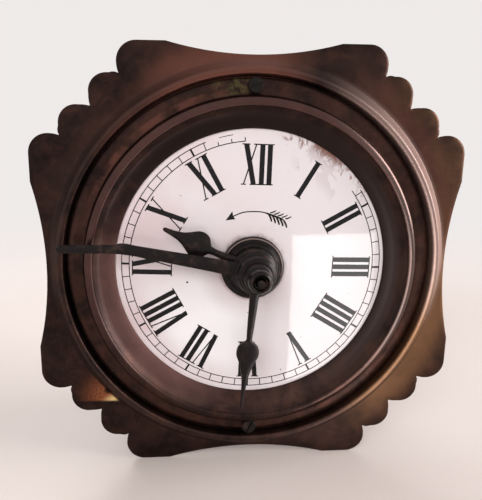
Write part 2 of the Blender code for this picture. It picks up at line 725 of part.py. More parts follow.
def front_frame(clock):
    form = bmesh.new()
    outline = [form.verts.new((x / MM, y / MM, 0)) for x, y in frame_outline()]
    rows = []
    for radius, height in rim_profile():
        rows.append([form.verts.new((x / MM, y / MM, height / MM)) for x, y in circle(radius, FINE)])
    edges = []
    for loop in (outline, rows[0]):
        edges += [form.edges.new((a, b)) for a, b in zip(loop, loop[1:] + loop[:1])]
    bmesh.ops.triangle_fill(form, use_beauty=True, edges=edges, normal=(0, 0, 1))
    for outer, inner in zip(rows, rows[1:]):
        for side in range(FINE):
            after = (side + 1) % FINE
            form.faces.new((outer[side], outer[after], inner[after], inner[side]))
    bmesh.ops.scale(form, verts=form.verts, vec=(MM, MM, MM))
    bmesh.ops.recalc_face_normals(form, faces=form.faces)
    if sum(face.normal.z for face in form.faces) < 0:
        bmesh.ops.reverse_faces(form, faces=form.faces)
    mesh = bpy.data.meshes.new("front_frame")
    form.to_mesh(mesh)
    form.free()
    shade(mesh)
    frame = clock.piece("front_frame", mesh, "bronzed_brass")
    wall = frame.modifiers.new("sheet", "SOLIDIFY")
    wall.thickness = SHEET
    wall.offset = -1
    wall.use_even_offset = True
    cut_screw_holes(clock, frame, -SHEET, 0)


def cut_screw_holes(clock, target, bottom, top):
    holes = []
    for place in BEZEL_SCREW_PLACES:
        hole = circle(BEZEL_SCREW_SHANK + GAP, SMALL, place)
        holes.append(flat_mesh([hole], bottom - OVERRUN, top + OVERRUN))
    clock.cut(target, gathered(holes))


def bezel_ring(clock):
    """A sloping wall down to the dial, a bead, a groove and the flange under the screws."""
    bead = (BEAD_CREST, BEAD_HEIGHT - BEAD_RADIUS)
    front = [(BEZEL_LIP, BEZEL_LIP_HEIGHT), (BEZEL_EDGE, BEZEL_EDGE_HEIGHT)]
    front += arc(bead, BEAD_RADIUS, 145 * DEGREE, 0, 4)
    edge = RIM_INNER - GAP
    front += [(BEAD_FOOT + GAP, GROOVE_HEIGHT), (edge, GROOVE_HEIGHT), (edge, GAP)]
    inside = BEAD_RADIUS - SHEET
    back = [(BEAD_FOOT - SHEET, GAP)]
    back += arc(bead, inside, 0, 120 * DEGREE, 2)
    back += [(BEZEL_LIP + 2 * SHEET, BEZEL_LIP_HEIGHT)]
    ring = clock.piece("bezel_ring", turned_mesh(front + back, FINE), "bronzed_bezel")
    cut_screw_holes(clock, ring, 0, GROOVE_HEIGHT)
    base = GROOVE_HEIGHT + GAP
    top = base + BEZEL_SCREW_HEAD_HEIGHT
    profile = [(0, top), (BEZEL_SCREW_HEAD - SLOT_DEPTH, top), (BEZEL_SCREW_HEAD, top - SLOT_DEPTH)]
    profile += [(BEZEL_SCREW_HEAD, base), (BEZEL_SCREW_SHANK, base)]
    profile += [(BEZEL_SCREW_SHANK, base - BEZEL_SCREW_LENGTH), (0, base - BEZEL_SCREW_LENGTH)]
    reach = BEZEL_SCREW_HEAD + OVERRUN
    half = SLOT_WIDTH / 2
    slot = [(-reach, -half), (reach, -half), (reach, half), (-reach, half)]
    places = zip(("top", "bottom"), BEZEL_SCREW_PLACES, BEZEL_SLOT_ANGLES)
    for name, place, angle in places:
        mesh = turned_mesh(profile, SMALL)
        screw = clock.piece("bezel_screw_" + name, mesh, "steel", None, place, angle)
        clock.cut(screw, flat_mesh([slot], top - SLOT_DEPTH, top + OVERRUN))


def dial_height(radius):
    return DIAL_EDGE_HEIGHT + DIAL_DOME * (1 - (radius / DIAL_RADIUS) ** 2)


def dial_parts(clock):
    edge = DIAL_RADIUS - DIAL_THICKNESS / 2
    rings = (DIAL_HOLE, DIAL_RADIUS * 0.55, edge)
    profile = [(radius, dial_height(radius)) for radius in rings]
    profile.append((DIAL_RADIUS, dial_height(edge) - DIAL_THICKNESS))
    profile.append((DIAL_HOLE, dial_height(DIAL_HOLE) - DIAL_THICKNESS))
    dial = clock.piece("dial", turned_mesh(profile, FINE), "enamel")
    top = dial_height(DIAL_FOOT_CIRCLE) - DIAL_THICKNESS / 2
    feet = [circle(DIAL_FOOT_RADIUS, TINY, place) for place in DIAL_FOOT_PLACES]
    clock.add(dial, gathered([flat_mesh([foot], FRONT_PLATE_FACE + GAP, top) for foot in feet]))
    rim = BOSS_RADIUS
    top = BOSS_BASE + BOSS_HEIGHT
    step = BOSS_HEIGHT / 4
    profile = [(DIAL_HOLE, top), (rim - 3 * step, top), (rim - 2 * step, top - step), (rim, top - step)]
    profile += [(rim, BOSS_BASE), (DIAL_HOLE, BOSS_BASE)]
    clock.piece("centre_boss", turned_mesh(profile, COARSE), "blackened_steel")


def drum_parts(clock):
    front = -SHEET - GAP
    inner = DRUM_INNER
    profile = [(inner, front), (DRUM_FLANGE, front), (DRUM_FLANGE, front - SHEET)]
    profile += [(DRUM_RADIUS, front - SHEET), (DRUM_RADIUS, -DRUM_DEPTH), (inner, -DRUM_DEPTH)]
    drum = clock.piece("drum_case", turned_mesh(profile, MEDIUM), "bronzed_brass")
    cut_screw_holes(clock, drum, front - SHEET, front)
    skirt = inner - GAP
    rim = DRUM_RADIUS
    profile = [(0, COVER_FACE), (skirt - SHEET, COVER_FACE), (skirt - SHEET, COVER_FACE + COVER_SKIRT)]
    profile += [(skirt, COVER_FACE + COVER_SKIRT), (skirt, COVER_FACE), (rim, COVER_FACE)]
    profile += [(rim, COVER_BACK), (0, COVER_BACK)]
    cover = clock.piece("back_cover", turned_mesh(profile, MEDIUM), "bronzed_brass")
    bottom = COVER_BACK - OVERRUN
    top = COVER_FACE + OVERRUN
    loops = [circle(WINDING_ARBOR + 3 * GAP, SMALL, place) for place in (GREAT_PLACE, ALARM_PLACE)]
    loops.append(circle(SETTING_ARBOR + 3 * GAP, SMALL, SETTING_PLACE))
    loops += [circle(COVER_SCREW_SHANK + GAP, TINY, place) for place in POST_PLACES]
    for hole in range(SOUND_HOLES):
        loops.append(circle(SOUND_HOLE, TINY, polar(SOUND_CIRCLE, TURN * hole / SOUND_HOLES, BELL_PLACE)))
    loops.append(arc_slot(BALANCE_PLACE, REGULATOR_ARM, REGULATOR_ANGLE, REGULATOR_SWING))
    loops.append(arc_slot(STOP_PLACE, STOP_PIN_ARM, STOP_PIN_ANGLE, STOP_SWING))
    clock.cut(cover, gathered([flat_mesh([loop], bottom, top) for loop in loops]))
    base = COVER_BACK - GAP
    end = base + COVER_SCREW_LENGTH
    profile = [(0, end), (COVER_SCREW_SHANK, end), (COVER_SCREW_SHANK, base), (COVER_SCREW_HEAD, base)]
    profile += [(COVER_SCREW_HEAD, base - COVER_SCREW_HEAD_HEIGHT / 2)]
    profile += [(COVER_SCREW_HEAD / 2, base - COVER_SCREW_HEAD_HEIGHT)]
    profile += [(0, base - COVER_SCREW_HEAD_HEIGHT)]
    for number, place in enumerate(POST_PLACES, 1):
        clock.piece(f"back_cover_screw_{number}", turned_mesh(profile, SMALL), "steel", None, place)
    rear_feet(clock)


def arc_slot(centre, radius, angle, swing):
    """A curved slot that lets a pin swing about a centre."""
    half = PIN_RADIUS + 2 * GAP
    reach = swing + half / radius
    outer = arc(centre, radius + half, angle - reach, angle + reach, 3)
    inner = arc(centre, radius - half, angle + reach, angle - reach, 3)
    return outer + inner


def rear_feet(clock):
    """Two turned feet saddled on the back of the drum, which stand level with the frame's ears."""
    across = DRUM_RADIUS * math.sin(FOOT_ANGLE)
    top = -math.sqrt(DRUM_RADIUS**2 - (across + FOOT_NECK) ** 2)
    drop = top + FRAME_HALF
    profile = [(0, -FRAME_HALF), (FOOT_RADIUS, -FRAME_HALF)]
    for down, wide in FOOT_SHARES:
        profile.append((FOOT_NECK + (FOOT_RADIUS - FOOT_NECK) * wide, top - drop * down))
    profile.append((0, top))
    half = FOOT_RADIUS + OVERRUN
    drum = rod(DRUM_RADIUS + GAP, -FOOT_DEPTH - half, -FOOT_DEPTH + half)
    for name, side in (("left", -1), ("right", 1)):
        foot = clock.piece("rear_foot_" + name, turned_mesh(profile, SMALL), "bronzed_brass")
        foot.location = (side * across, 0, -FOOT_DEPTH)
        foot.rotation_euler = (-TURN / 4, 0, 0)
        clock.cut(foot, turned_mesh(drum, FINE), clock.face)


ARBOR_PLACES = {
    "third": THIRD_PLACE,
    "fourth": FOURTH_PLACE,
    "escape": ESCAPE_PLACE,
    "pallet": PALLET_PLACE,
    "balance": BALANCE_PLACE,
    "alarm_escape": ALARM_ESCAPE_PLACE,
    "hammer": HAMMER_PLACE,
}


def movement_frame(clock):
    """Two round plates on four pillars, with a hole for every arbor."""
    pivots = [circle(PIVOT + GAP, TINY, place) for place in ARBOR_PLACES.values()]
    setting = circle(SETTING_ARBOR + GAP, TINY, SETTING_PLACE)
    centre = circle(CENTRE_TUBE + GAP, SMALL)
    winding = [circle(PIVOT + GAP, TINY, place) for place in (GREAT_PLACE, ALARM_PLACE)]
    loops = [circle(PLATE_RADIUS, MEDIUM), centre, setting] + pivots + winding
    plate = clock.piece("front_plate", flat_mesh(loops, FRONT_PLATE_BACK, FRONT_PLATE_FACE), "brass")
    middle = (FRONT_PLATE_BACK + FRONT_PLATE_FACE) / 2
    low = BACK_PLATE_FACE + GAP
    end = BACK_PLATE_BACK - NUT_HEIGHT - 2 * GAP
    profile = [(0, middle), (PILLAR_RADIUS, middle), (PILLAR_RADIUS, low), (PILLAR_PIVOT, low)]
    profile += [(PILLAR_PIVOT, end), (0, end)]
    pillars = [moved(turned_mesh(profile, SMALL), place) for place in PILLAR_PLACES]
    clock.add(plate, gathered(pillars))
    winding = [circle(WINDING_ARBOR + GAP, SMALL, place) for place in (GREAT_PLACE, ALARM_PLACE)]
    corners = [circle(PILLAR_PIVOT + GAP, TINY, place) for place in PILLAR_PLACES]
    loops = [circle(PLATE_RADIUS, MEDIUM), centre, setting] + pivots + corners + winding
    plate = clock.piece("back_plate", flat_mesh(loops, BACK_PLATE_BACK, BACK_PLATE_FACE), "brass")
    middle = (BACK_PLATE_BACK + BACK_PLATE_FACE) / 2
    inner = COVER_SCREW_SHANK + GAP
    profile = tube(inner, POST_RADIUS, COVER_FACE + GAP, middle)
    clock.add(plate, gathered([moved(turned_mesh(profile, TINY), place) for place in POST_PLACES]))
    high = BACK_PLATE_BACK - GAP
    for number, place in enumerate(PILLAR_PLACES, 1):
        loops = [circle(NUT_RADIUS, 6), circle(PILLAR_PIVOT + GAP, TINY)]
        mesh = flat_mesh(loops, high - NUT_HEIGHT, high)
        clock.piece(f"pillar_nut_{number}", mesh, "steel", None, place)


def arbor(bottom, top, radius):
    """A round arbor with a thinner pivot at each end, in the two plates."""
    profile = [(0, FRONT_PLATE_FACE), (PIVOT, FRONT_PLATE_FACE), (PIVOT, top), (radius, top)]
    profile += [(radius, bottom), (PIVOT, bottom), (PIVOT, BACK_PLATE_BACK), (0, BACK_PLATE_BACK)]
    return turned_mesh(profile, TINY)


def wheel_mesh(teeth, module, phase, bore, depth, thickness, spokes):
    """A toothed wheel with its bore and, where it has spokes, the holes between them."""
    root = pitch_radius(teeth, module) - DEDENDUM_SHARE * module
    rim = 2 * module
    loops = [gear_loop(teeth, module, phase), circle(bore, TINY)]
    if spokes:
        loops += crossings(spokes, bore + rim, root - rim, rim, 2)
    return flat_mesh(loops, -depth - thickness, -depth)


def wheel_on_pinion(clock, name, axis, pinion, wheel):
    """A wheel and the pinion that carries it on one arbor.

    pinion is (leaves, module, phase, depth of the wheel that drives it), wheel (teeth, module,
    phase, depth).
    """
    leaves, module, phase, driver_depth = pinion
    body = clock.piece(name + "_pinion", arbor(ARBOR_BOTTOM, ARBOR_TOP, THIN_ARBOR), "steel", axis)
    high = -driver_depth + GAP
    low = high - WHEEL_THICKNESS - 2 * GAP
    clock.add(body, flat_mesh([gear_loop(leaves, module, phase)], low, high))
    teeth, wheel_module, wheel_phase, depth = wheel
    mesh = wheel_mesh(teeth, wheel_module, wheel_phase, THIN_ARBOR + GAP, depth, WHEEL_THICKNESS, 4)
    clock.piece(name + "_wheel", mesh, "brass", axis)


def centre_works(clock):
    """The hollow centre arbor that carries the minute hand and drives the hand work."""
    axis = clock.axis("minute_axis", CENTRE)
    end = MINUTE_HUB_BASE + MINUTE_HUB_HEIGHT - GAP
    profile = tube(CENTRE_TUBE_INNER, CENTRE_TUBE, BACK_PLATE_BACK, end)
    body = clock.piece("centre_arbor", turned_mesh(profile, SMALL), "steel", axis)
    phase = driven_phase(GREAT_ANGLE - TURN / 2, CENTRE_LEAVES)
    high = -GREAT_DEPTH + GAP
    low = high - GREAT_THICKNESS - 2 * GAP
    bore = CENTRE_TUBE_INNER + CENTRE_TUBE_WALL / 2
    leaves = [gear_loop(CENTRE_LEAVES, GREAT_MODULE, phase), circle(bore, SMALL)]
    clock.add(body, flat_mesh(leaves, low, high))
    mesh = wheel_mesh(CENTRE_TEETH, CENTRE_MODULE, THIRD_ANGLE, HOUR_PIPE_INNER, CENTRE_DEPTH,
                      WHEEL_THICKNESS, 4)
    clock.piece("centre_wheel", mesh, "brass", axis)
    loops = [gear_loop(CANNON_LEAVES, MOTION_MODULE, MOTION_ANGLE), circle(HOUR_PIPE_INNER, SMALL)]
    low = FRONT_PLATE_FACE + GAP
    clock.piece("cannon_pinion", flat_mesh(loops, low, low + MOTION_STEP), "steel", axis)
    hand(clock, "minute_hand", axis, MINUTE_HUB_RADIUS, HOUR_PIPE_INNER, MINUTE_HUB_BASE,
         MINUTE_HUB_HEIGHT, minute_blade())


def hand(clock, name, axis, hub_radius, bore, base, height, loop):
    """A hand: a flat blade with a turned hub round its bore."""
    bevel = height / 4
    profile = [(bore, base + height), (hub_radius - 2 * bevel, base + height)]
    profile += [(hub_radius, base + height - bevel), (hub_radius, base), (bore, base)]
    piece = clock.piece(name, turned_mesh(profile, COARSE), "blackened_steel", axis)
    low = base + (height - HAND_THICKNESS) / 3
    clock.add(piece, flat_mesh([loop], low, low + HAND_THICKNESS))
    return piece


def minute_blade():
    """The minute hand's blade, bent a little sideways beyond the dial."""
    straight = blade(MINUTE_HAND_SHARES, MINUTE_REACH, MINUTE_HALF_WIDTH, 0)
    bent = []
    for x, y in straight:
        past = max(0, x - MINUTE_REACH * MINUTE_BEND_SHARE)
        bent.append((x, y + past * math.tan(MINUTE_BEND)))
    return turned_about(bent, clock_angle(MINUTE_DIRECTION))


def hour_works(clock):
    axis = clock.axis("hour_axis", CENTRE)
    base = FRONT_PLATE_FACE + GAP + MOTION_STEP + GAP
    end = HOUR_HUB_BASE + HOUR_HUB_HEIGHT - GAP
    profile = tube(HOUR_PIPE_INNER, HOUR_PIPE, base, end)
    body = clock.piece("hour_wheel", turned_mesh(profile, SMALL), "brass", axis)
    phase = driven_phase(MOTION_ANGLE - TURN / 2, HOUR_WHEEL_TEETH)
    middle = (HOUR_PIPE_INNER + HOUR_PIPE) / 2
    loops = [gear_loop(HOUR_WHEEL_TEETH, MOTION_MODULE, phase), circle(middle, SMALL)]
    clock.add(body, flat_mesh(loops, base + GAP, base + GAP + MOTION_WHEEL))
    loop = blade(HOUR_HAND_SHARES, HOUR_REACH, HOUR_HALF_WIDTH, clock_angle(HOUR_DIRECTION))
    hand(clock, "hour_hand", axis, HOUR_HUB_RADIUS, HOUR_PIPE + GAP, HOUR_HUB_BASE, HOUR_HUB_HEIGHT, loop)


def setting_works(clock):
    """The minute wheel on the arbor of the knob that sets the hands from behind."""
    axis = clock.axis("setting_axis", SETTING_PLACE)
    cannon_base = FRONT_PLATE_FACE + GAP
    pinion_base = cannon_base + MOTION_STEP
    pinion_top = pinion_base + MOTION_WHEEL + 3 * GAP
    knob_end = KEY_BASE - SET_KNOB_HEIGHT
    profile = rod(SETTING_ARBOR, knob_end + GAP, pinion_top + GAP)
    body = clock.piece("setting_arbor", turned_mesh(profile, TINY), "steel", axis)
    leaves = gear_loop(MINUTE_PINION_LEAVES, MOTION_MODULE, MOTION_ANGLE + TURN / 2)
    clock.add(body, flat_mesh([leaves], pinion_base, pinion_top))
    low = cannon_base + GAP
    phase = driven_phase(MOTION_ANGLE, MINUTE_WHEEL_TEETH)
    loops = [gear_loop(MINUTE_WHEEL_TEETH, MOTION_MODULE, phase), circle(SETTING_ARBOR + GAP, TINY)]
    clock.piece("minute_wheel", flat_mesh(loops, low, low + MOTION_WHEEL), "brass", axis)
    flutes = tooth_loop(SET_KNOB_FLUTES, SET_KNOB_RADIUS, SET_KNOB_RADIUS - SLOT_DEPTH)
    loops = [flutes, circle(SETTING_ARBOR + GAP, TINY)]
    clock.piece("set_knob", flat_mesh(loops, knob_end, KEY_BASE), "brass", axis)


def alarm_setting(clock):
    """The inner arbor with the alarm hand and its turned knob in front and the cam behind."""
    axis = clock.axis("alarm_axis", CENTRE)
    shoulder = ALARM_HUB_BASE - GAP / 2
    low = -CAM_DEPTH - CAM_THICKNESS - GAP
    profile = [(0, ARBOR_FRONT), (ARBOR_TIP, ARBOR_FRONT), (ARBOR_TIP, shoulder)]
    profile += [(ALARM_ARBOR, shoulder), (ALARM_ARBOR, low), (0, low)]
    clock.piece("alarm_arbor", turned_mesh(profile, SMALL), "steel", axis)
    loop = blade(ALARM_HAND_SHARES, ALARM_REACH, ALARM_HALF_WIDTH, clock_angle(ALARM_DIRECTION))
    hand(clock, "alarm_hand", axis, ALARM_HUB_RADIUS, ARBOR_TIP + GAP, ALARM_HUB_BASE,
         ALARM_HUB_HEIGHT, loop)
    ring_top = KNOB_BASE + KNOB_RING_HEIGHT
    bore = ARBOR_TIP + GAP
    profile = [(bore, KNOB_TOP - KNOB_RECESS_DEPTH), (KNOB_RECESS_RADIUS, KNOB_TOP - KNOB_RECESS_DEPTH)]
    profile += [(KNOB_RECESS_RADIUS, KNOB_TOP), (KNOB_DOME_RADIUS * 0.85, KNOB_TOP - GAP)]
    profile += [(KNOB_DOME_RADIUS, KNOB_TOP - KNOB_RECESS_DEPTH), (KNOB_DOME_RADIUS, ring_top)]
    profile += [(KNOB_RING_RADIUS, ring_top - GAP), (KNOB_RING_RADIUS, KNOB_BASE), (bore, KNOB_BASE)]
    clock.piece("alarm_knob", turned_mesh(profile, COARSE), "blackened_steel", axis)
    notch = [polar(CAM_RADIUS, TURN * step / COARSE) for step in range(COARSE - 2)]
    notch.append(polar(CAM_RADIUS * 0.7, TURN * (COARSE - 2) / COARSE))
    loops = [notch, circle(ALARM_ARBOR + GAP, TINY)]
    clock.piece("alarm_cam", flat_mesh(loops, -CAM_DEPTH - CAM_THICKNESS, -CAM_DEPTH), "brass", axis)


def click_outline(nose):
    """A click about its own pivot, with its nose short of the ratchet's teeth."""
    body = arc((0, 0), CLICK_RADIUS, 60 * DEGREE, 300 * DEGREE, 6)
    return body + [(nose, -CLICK_RADIUS * 0.6), (nose, CLICK_RADIUS * 0.1)]


def spring_strip(turns, inner, outer, anchor, thickness, clearance):
    """A spiral strip about the origin whose outer end runs to an anchor."""
    angle, distance = aim((0, 0), anchor)
    steps = SPRING_FACETS * turns
    middle = []
    for step in range(steps + 1):
        share = step / steps
        middle.append((inner + (outer - inner) * share, angle - TURN / 6 - TURN * turns * (1 - share)))
    line = [polar(radius, turn) for radius, turn in middle]
    last_angle, length = aim(line[-1], anchor)
    line.append(polar(length - clearance, last_angle, line[-1]))
    left = []
    right = []
    for index, point in enumerate(line):
        before = line[max(0, index - 1)]
        after = line[min(len(line) - 1, index + 1)]
        heading, _ = aim(before, after)
        left.append(polar(thickness / 2, heading + TURN / 4, point))
        right.append(polar(thickness / 2, heading - TURN / 4, point))
    return left + right[::-1]


def winding_works(clock, name, place, spring_radius, pillar, depth, wheel):
    """One barrel: great wheel, winding arbor, ratchet, click, open mainspring and key."""
    teeth, module, phase = wheel
    wheel_axis = clock.axis(name + "_great_axis", place)
    mesh = wheel_mesh(teeth, module, phase, WINDING_ARBOR + GAP, depth, GREAT_THICKNESS, 0)
    great = clock.piece(name + "_great_wheel", mesh, "brass", wheel_axis)
    behind = 1 if depth < SPRING_DEPTH else -1
    face = -depth - GREAT_THICKNESS if behind > 0 else -depth
    stud_place = polar(CLICK_DISTANCE, TURN / 8)
    stud_reach = face - behind * (RATCHET_HEIGHT + GAP)
    low, high = sorted((face + behind * GREAT_THICKNESS / 2, stud_reach))
    clock.add(great, flat_mesh([circle(CLICK_STUD, TINY, stud_place)], low, high))
    click_axis = clock.empty(name + "_click_axis", wheel_axis, (stud_place[0], stud_place[1], 0))
    nose = CLICK_DISTANCE - RATCHET_RADIUS - 2 * GAP
    click = turned_about(click_outline(nose), TURN / 8 + TURN / 2)
    low, high = sorted((face - behind * GAP, face - behind * RATCHET_HEIGHT))
    mesh = flat_mesh([click, circle(CLICK_STUD + GAP, TINY)], low, high)
    clock.piece(name + "_click", mesh, "steel", click_axis)
    arbor_axis = clock.axis(name + "_winding_axis", place)
    end = KEY_REACH + KEY_HEIGHT / 3
    profile = [(0, FRONT_PLATE_FACE), (PIVOT, FRONT_PLATE_FACE), (PIVOT, ARBOR_TOP)]
    profile += [(WINDING_ARBOR, ARBOR_TOP), (WINDING_ARBOR, end), (0, end)]
    mesh = turned_mesh(profile, SMALL)
    winding = clock.piece(name + "_winding_arbor", mesh, "steel", arbor_axis)
    clock.add(winding, flat_mesh([ratchet_loop()], low, high))
    winding_key(clock, name, arbor_axis)
    anchor = (pillar[0] - place[0], pillar[1] - place[1])
    inside = WINDING_ARBOR + GAP + SPRING_THICKNESS
    clearance = PILLAR_RADIUS + GAP
    strip = spring_strip(SPRING_TURNS, inside, spring_radius, anchor, SPRING_THICKNESS, clearance)
    mesh = moved(flat_mesh([strip], -SPRING_DEPTH - SPRING_WIDTH, -SPRING_DEPTH), place)
    clock.piece(name + "_mainspring", mesh, "spring_steel")


def ratchet_loop():
    """Slanting teeth that let the click ride one way."""
    step = TURN / RATCHET_TEETH
    loop = []
    for tooth in range(RATCHET_TEETH):
        loop.append(polar(RATCHET_RADIUS, tooth * step))
        loop.append(polar(RATCHET_RADIUS - RATCHET_HEIGHT, tooth * step + GAP / RATCHET_RADIUS))
    return loop


def winding_key(clock, name, axis):
    """A butterfly key: two flat wings on a turned hub."""
    bore = WINDING_ARBOR + GAP
    middle = KEY_BASE - KEY_HEIGHT * 0.6
    profile = [(bore, KEY_BASE), (KEY_HUB, KEY_BASE), (KEY_HUB, middle)]
    profile += [(KEY_HUB * 0.8, KEY_REACH + GAP)]
    profile += [(0, KEY_REACH + GAP), (0, KEY_REACH + KEY_HEIGHT / 3 - GAP)]
    profile += [(bore, KEY_REACH + KEY_HEIGHT / 3 - GAP)]
    key = clock.piece(name + "_key", turned_mesh(profile, SMALL), "brass", axis)
    wings = []
    for side in (-1, 1):
        start = side * (KEY_HUB + bore) / 2
        end = side * KEY_SPAN / 2
        high = KEY_BASE - KEY_HEIGHT * 0.15
        low = KEY_REACH
        bend = (end - start) * 0.35
        loop = [(start, middle + KEY_HEIGHT * 0.2), (start + bend, high)]
        loop += [(end - bend * 0.4, high), (end, high - KEY_HEIGHT * 0.2), (end, low + KEY_HEIGHT * 0.2)]
        loop += [(end - bend * 0.4, low), (start + bend, low), (start, middle - KEY_HEIGHT * 0.15)]
        wing = flat_mesh([loop if side > 0 else loop[::-1]], -KEY_THICKNESS / 2, KEY_THICKNESS / 2)
        for vertex in wing.vertices:
            vertex.co = (vertex.co.x, -vertex.co.z, vertex.co.y)
        wings.append(wing)
    clock.add(key, gathered(wings))


def going_train(clock):
    """Third, fourth and escape wheels, each on the pinion that the wheel before it drives."""
    third = clock.axis("third_axis", THIRD_PLACE)
    wheel_on_pinion(
        clock, "third", third,
        (THIRD_LEAVES, CENTRE_MODULE, driven_phase(THIRD_ANGLE, THIRD_LEAVES), CENTRE_DEPTH),
        (THIRD_TEETH, THIRD_MODULE, FOURTH_ANGLE, THIRD_DEPTH),
    )
    fourth = clock.axis("fourth_axis", FOURTH_PLACE)
    wheel_on_pinion(
        clock, "fourth", fourth,
        (FOURTH_LEAVES, THIRD_MODULE, driven_phase(FOURTH_ANGLE, FOURTH_LEAVES), THIRD_DEPTH),
        (FOURTH_TEETH, FOURTH_MODULE, ESCAPE_ANGLE, FOURTH_DEPTH),
    )
    escape = clock.axis("escape_axis", ESCAPE_PLACE)
    body = clock.piece("escape_pinion", arbor(ARBOR_BOTTOM, ARBOR_TOP, THIN_ARBOR), "steel", escape)
    high = -FOURTH_DEPTH + GAP
    phase = driven_phase(ESCAPE_ANGLE, ESCAPE_LEAVES)
    leaves = gear_loop(ESCAPE_LEAVES, FOURTH_MODULE, phase)
    clock.add(body, flat_mesh([leaves], high - WHEEL_THICKNESS - 2 * GAP, high))
    root = ESCAPE_RADIUS * 0.72
    loops = [tooth_loop(ESCAPE_TEETH, ESCAPE_RADIUS, root), circle(THIN_ARBOR + GAP, TINY)]
    mesh = flat_mesh(loops, -ESCAPE_DEPTH - WHEEL_THICKNESS, -ESCAPE_DEPTH)
    clock.piece("escape_wheel", mesh, "brass", escape)


def escapement(clock):
    """Pin pallets on a forked lever, and the balance with its staff, roller and hairspring."""
    axis = clock.axis("pallet_axis", PALLET_PLACE)
    to_escape = PALLET_ANGLE + TURN / 2
    to_balance = BALANCE_ANGLE
    lever = clock.piece("pallet_lever", arbor(ARBOR_BOTTOM, ARBOR_TOP, PIVOT + GAP), "steel", axis)
    high = -LEVER_DEPTH
    low = high - WHEEL_THICKNESS
    fork = BALANCE_DISTANCE - ROLLER_RADIUS + GAP
    half = LEVER_HALF_WIDTH
    tines = [(-half, -half), (fork - 3 * half, -half), (fork - half, -1.8 * half), (fork, -1.8 * half)]
    tines += [(fork, -0.8 * half), (fork - 1.5 * half, -0.6 * half)]
    loop = tines + [(x, -y) for x, y in reversed(tines)]
    clock.add(lever, flat_mesh([turned_about(loop, to_balance)], low, high))
    pins = []
    for side in (-1, 1):
        pin = polar(PALLET_DISTANCE * 0.62, to_escape + side * 38 * DEGREE)
        clock.add(lever, flat_mesh([bar((0, 0), pin, half * 0.7)], low, high))
        pins.append(flat_mesh([circle(half * 0.4, TINY, pin)], -ESCAPE_DEPTH + GAP, low + GAP))
    clock.add(lever, gathered(pins))
    axis = clock.axis("balance_axis", BALANCE_PLACE)
    rim = BALANCE_RADIUS - SHEET
    loops = [circle(BALANCE_RADIUS, COARSE), circle(THIN_ARBOR + GAP, TINY)]
    loops += crossings(3, THIN_ARBOR + 4 * GAP, rim, SHEET, 5)
    mesh = flat_mesh(loops, -BALANCE_DEPTH - BALANCE_RIM, -BALANCE_DEPTH)
    clock.piece("balance_wheel", mesh, "brass", axis)
    staff = clock.piece("balance_staff", arbor(ARBOR_BOTTOM, ARBOR_TOP, THIN_ARBOR), "steel", axis)
    high = -BALANCE_DEPTH - BALANCE_RIM - GAP / 2
    low = -LEVER_DEPTH + 2 * GAP
    clock.add(staff, flat_mesh([circle(ROLLER_RADIUS - GAP, SMALL)], low, high))
    pin = polar(ROLLER_RADIUS - 3 * GAP, BALANCE_ANGLE + TURN / 2)
    clock.add(staff, flat_mesh([circle(GAP, TINY, pin)], -LEVER_DEPTH + GAP, low + GAP))
    stud = polar(HAIRSPRING_RADIUS + 2 * STUD_RADIUS, TURN / 8)
    strip = spring_strip(3, THIN_ARBOR + 2 * GAP, HAIRSPRING_RADIUS, stud, GAP, STUD_RADIUS + GAP)
    mesh = moved(flat_mesh([strip], -HAIRSPRING_DEPTH - 2 * GAP, -HAIRSPRING_DEPTH), BALANCE_PLACE)
    clock.piece("hairspring", mesh, "spring_steel")
    place = (stud[0] + BALANCE_PLACE[0], stud[1] + BALANCE_PLACE[1])
    mesh = flat_mesh([circle(STUD_RADIUS, TINY, place)], BACK_PLATE_FACE - GAP, -HAIRSPRING_DEPTH + GAP)
    clock.add(bpy.data.objects["back_plate"], mesh)


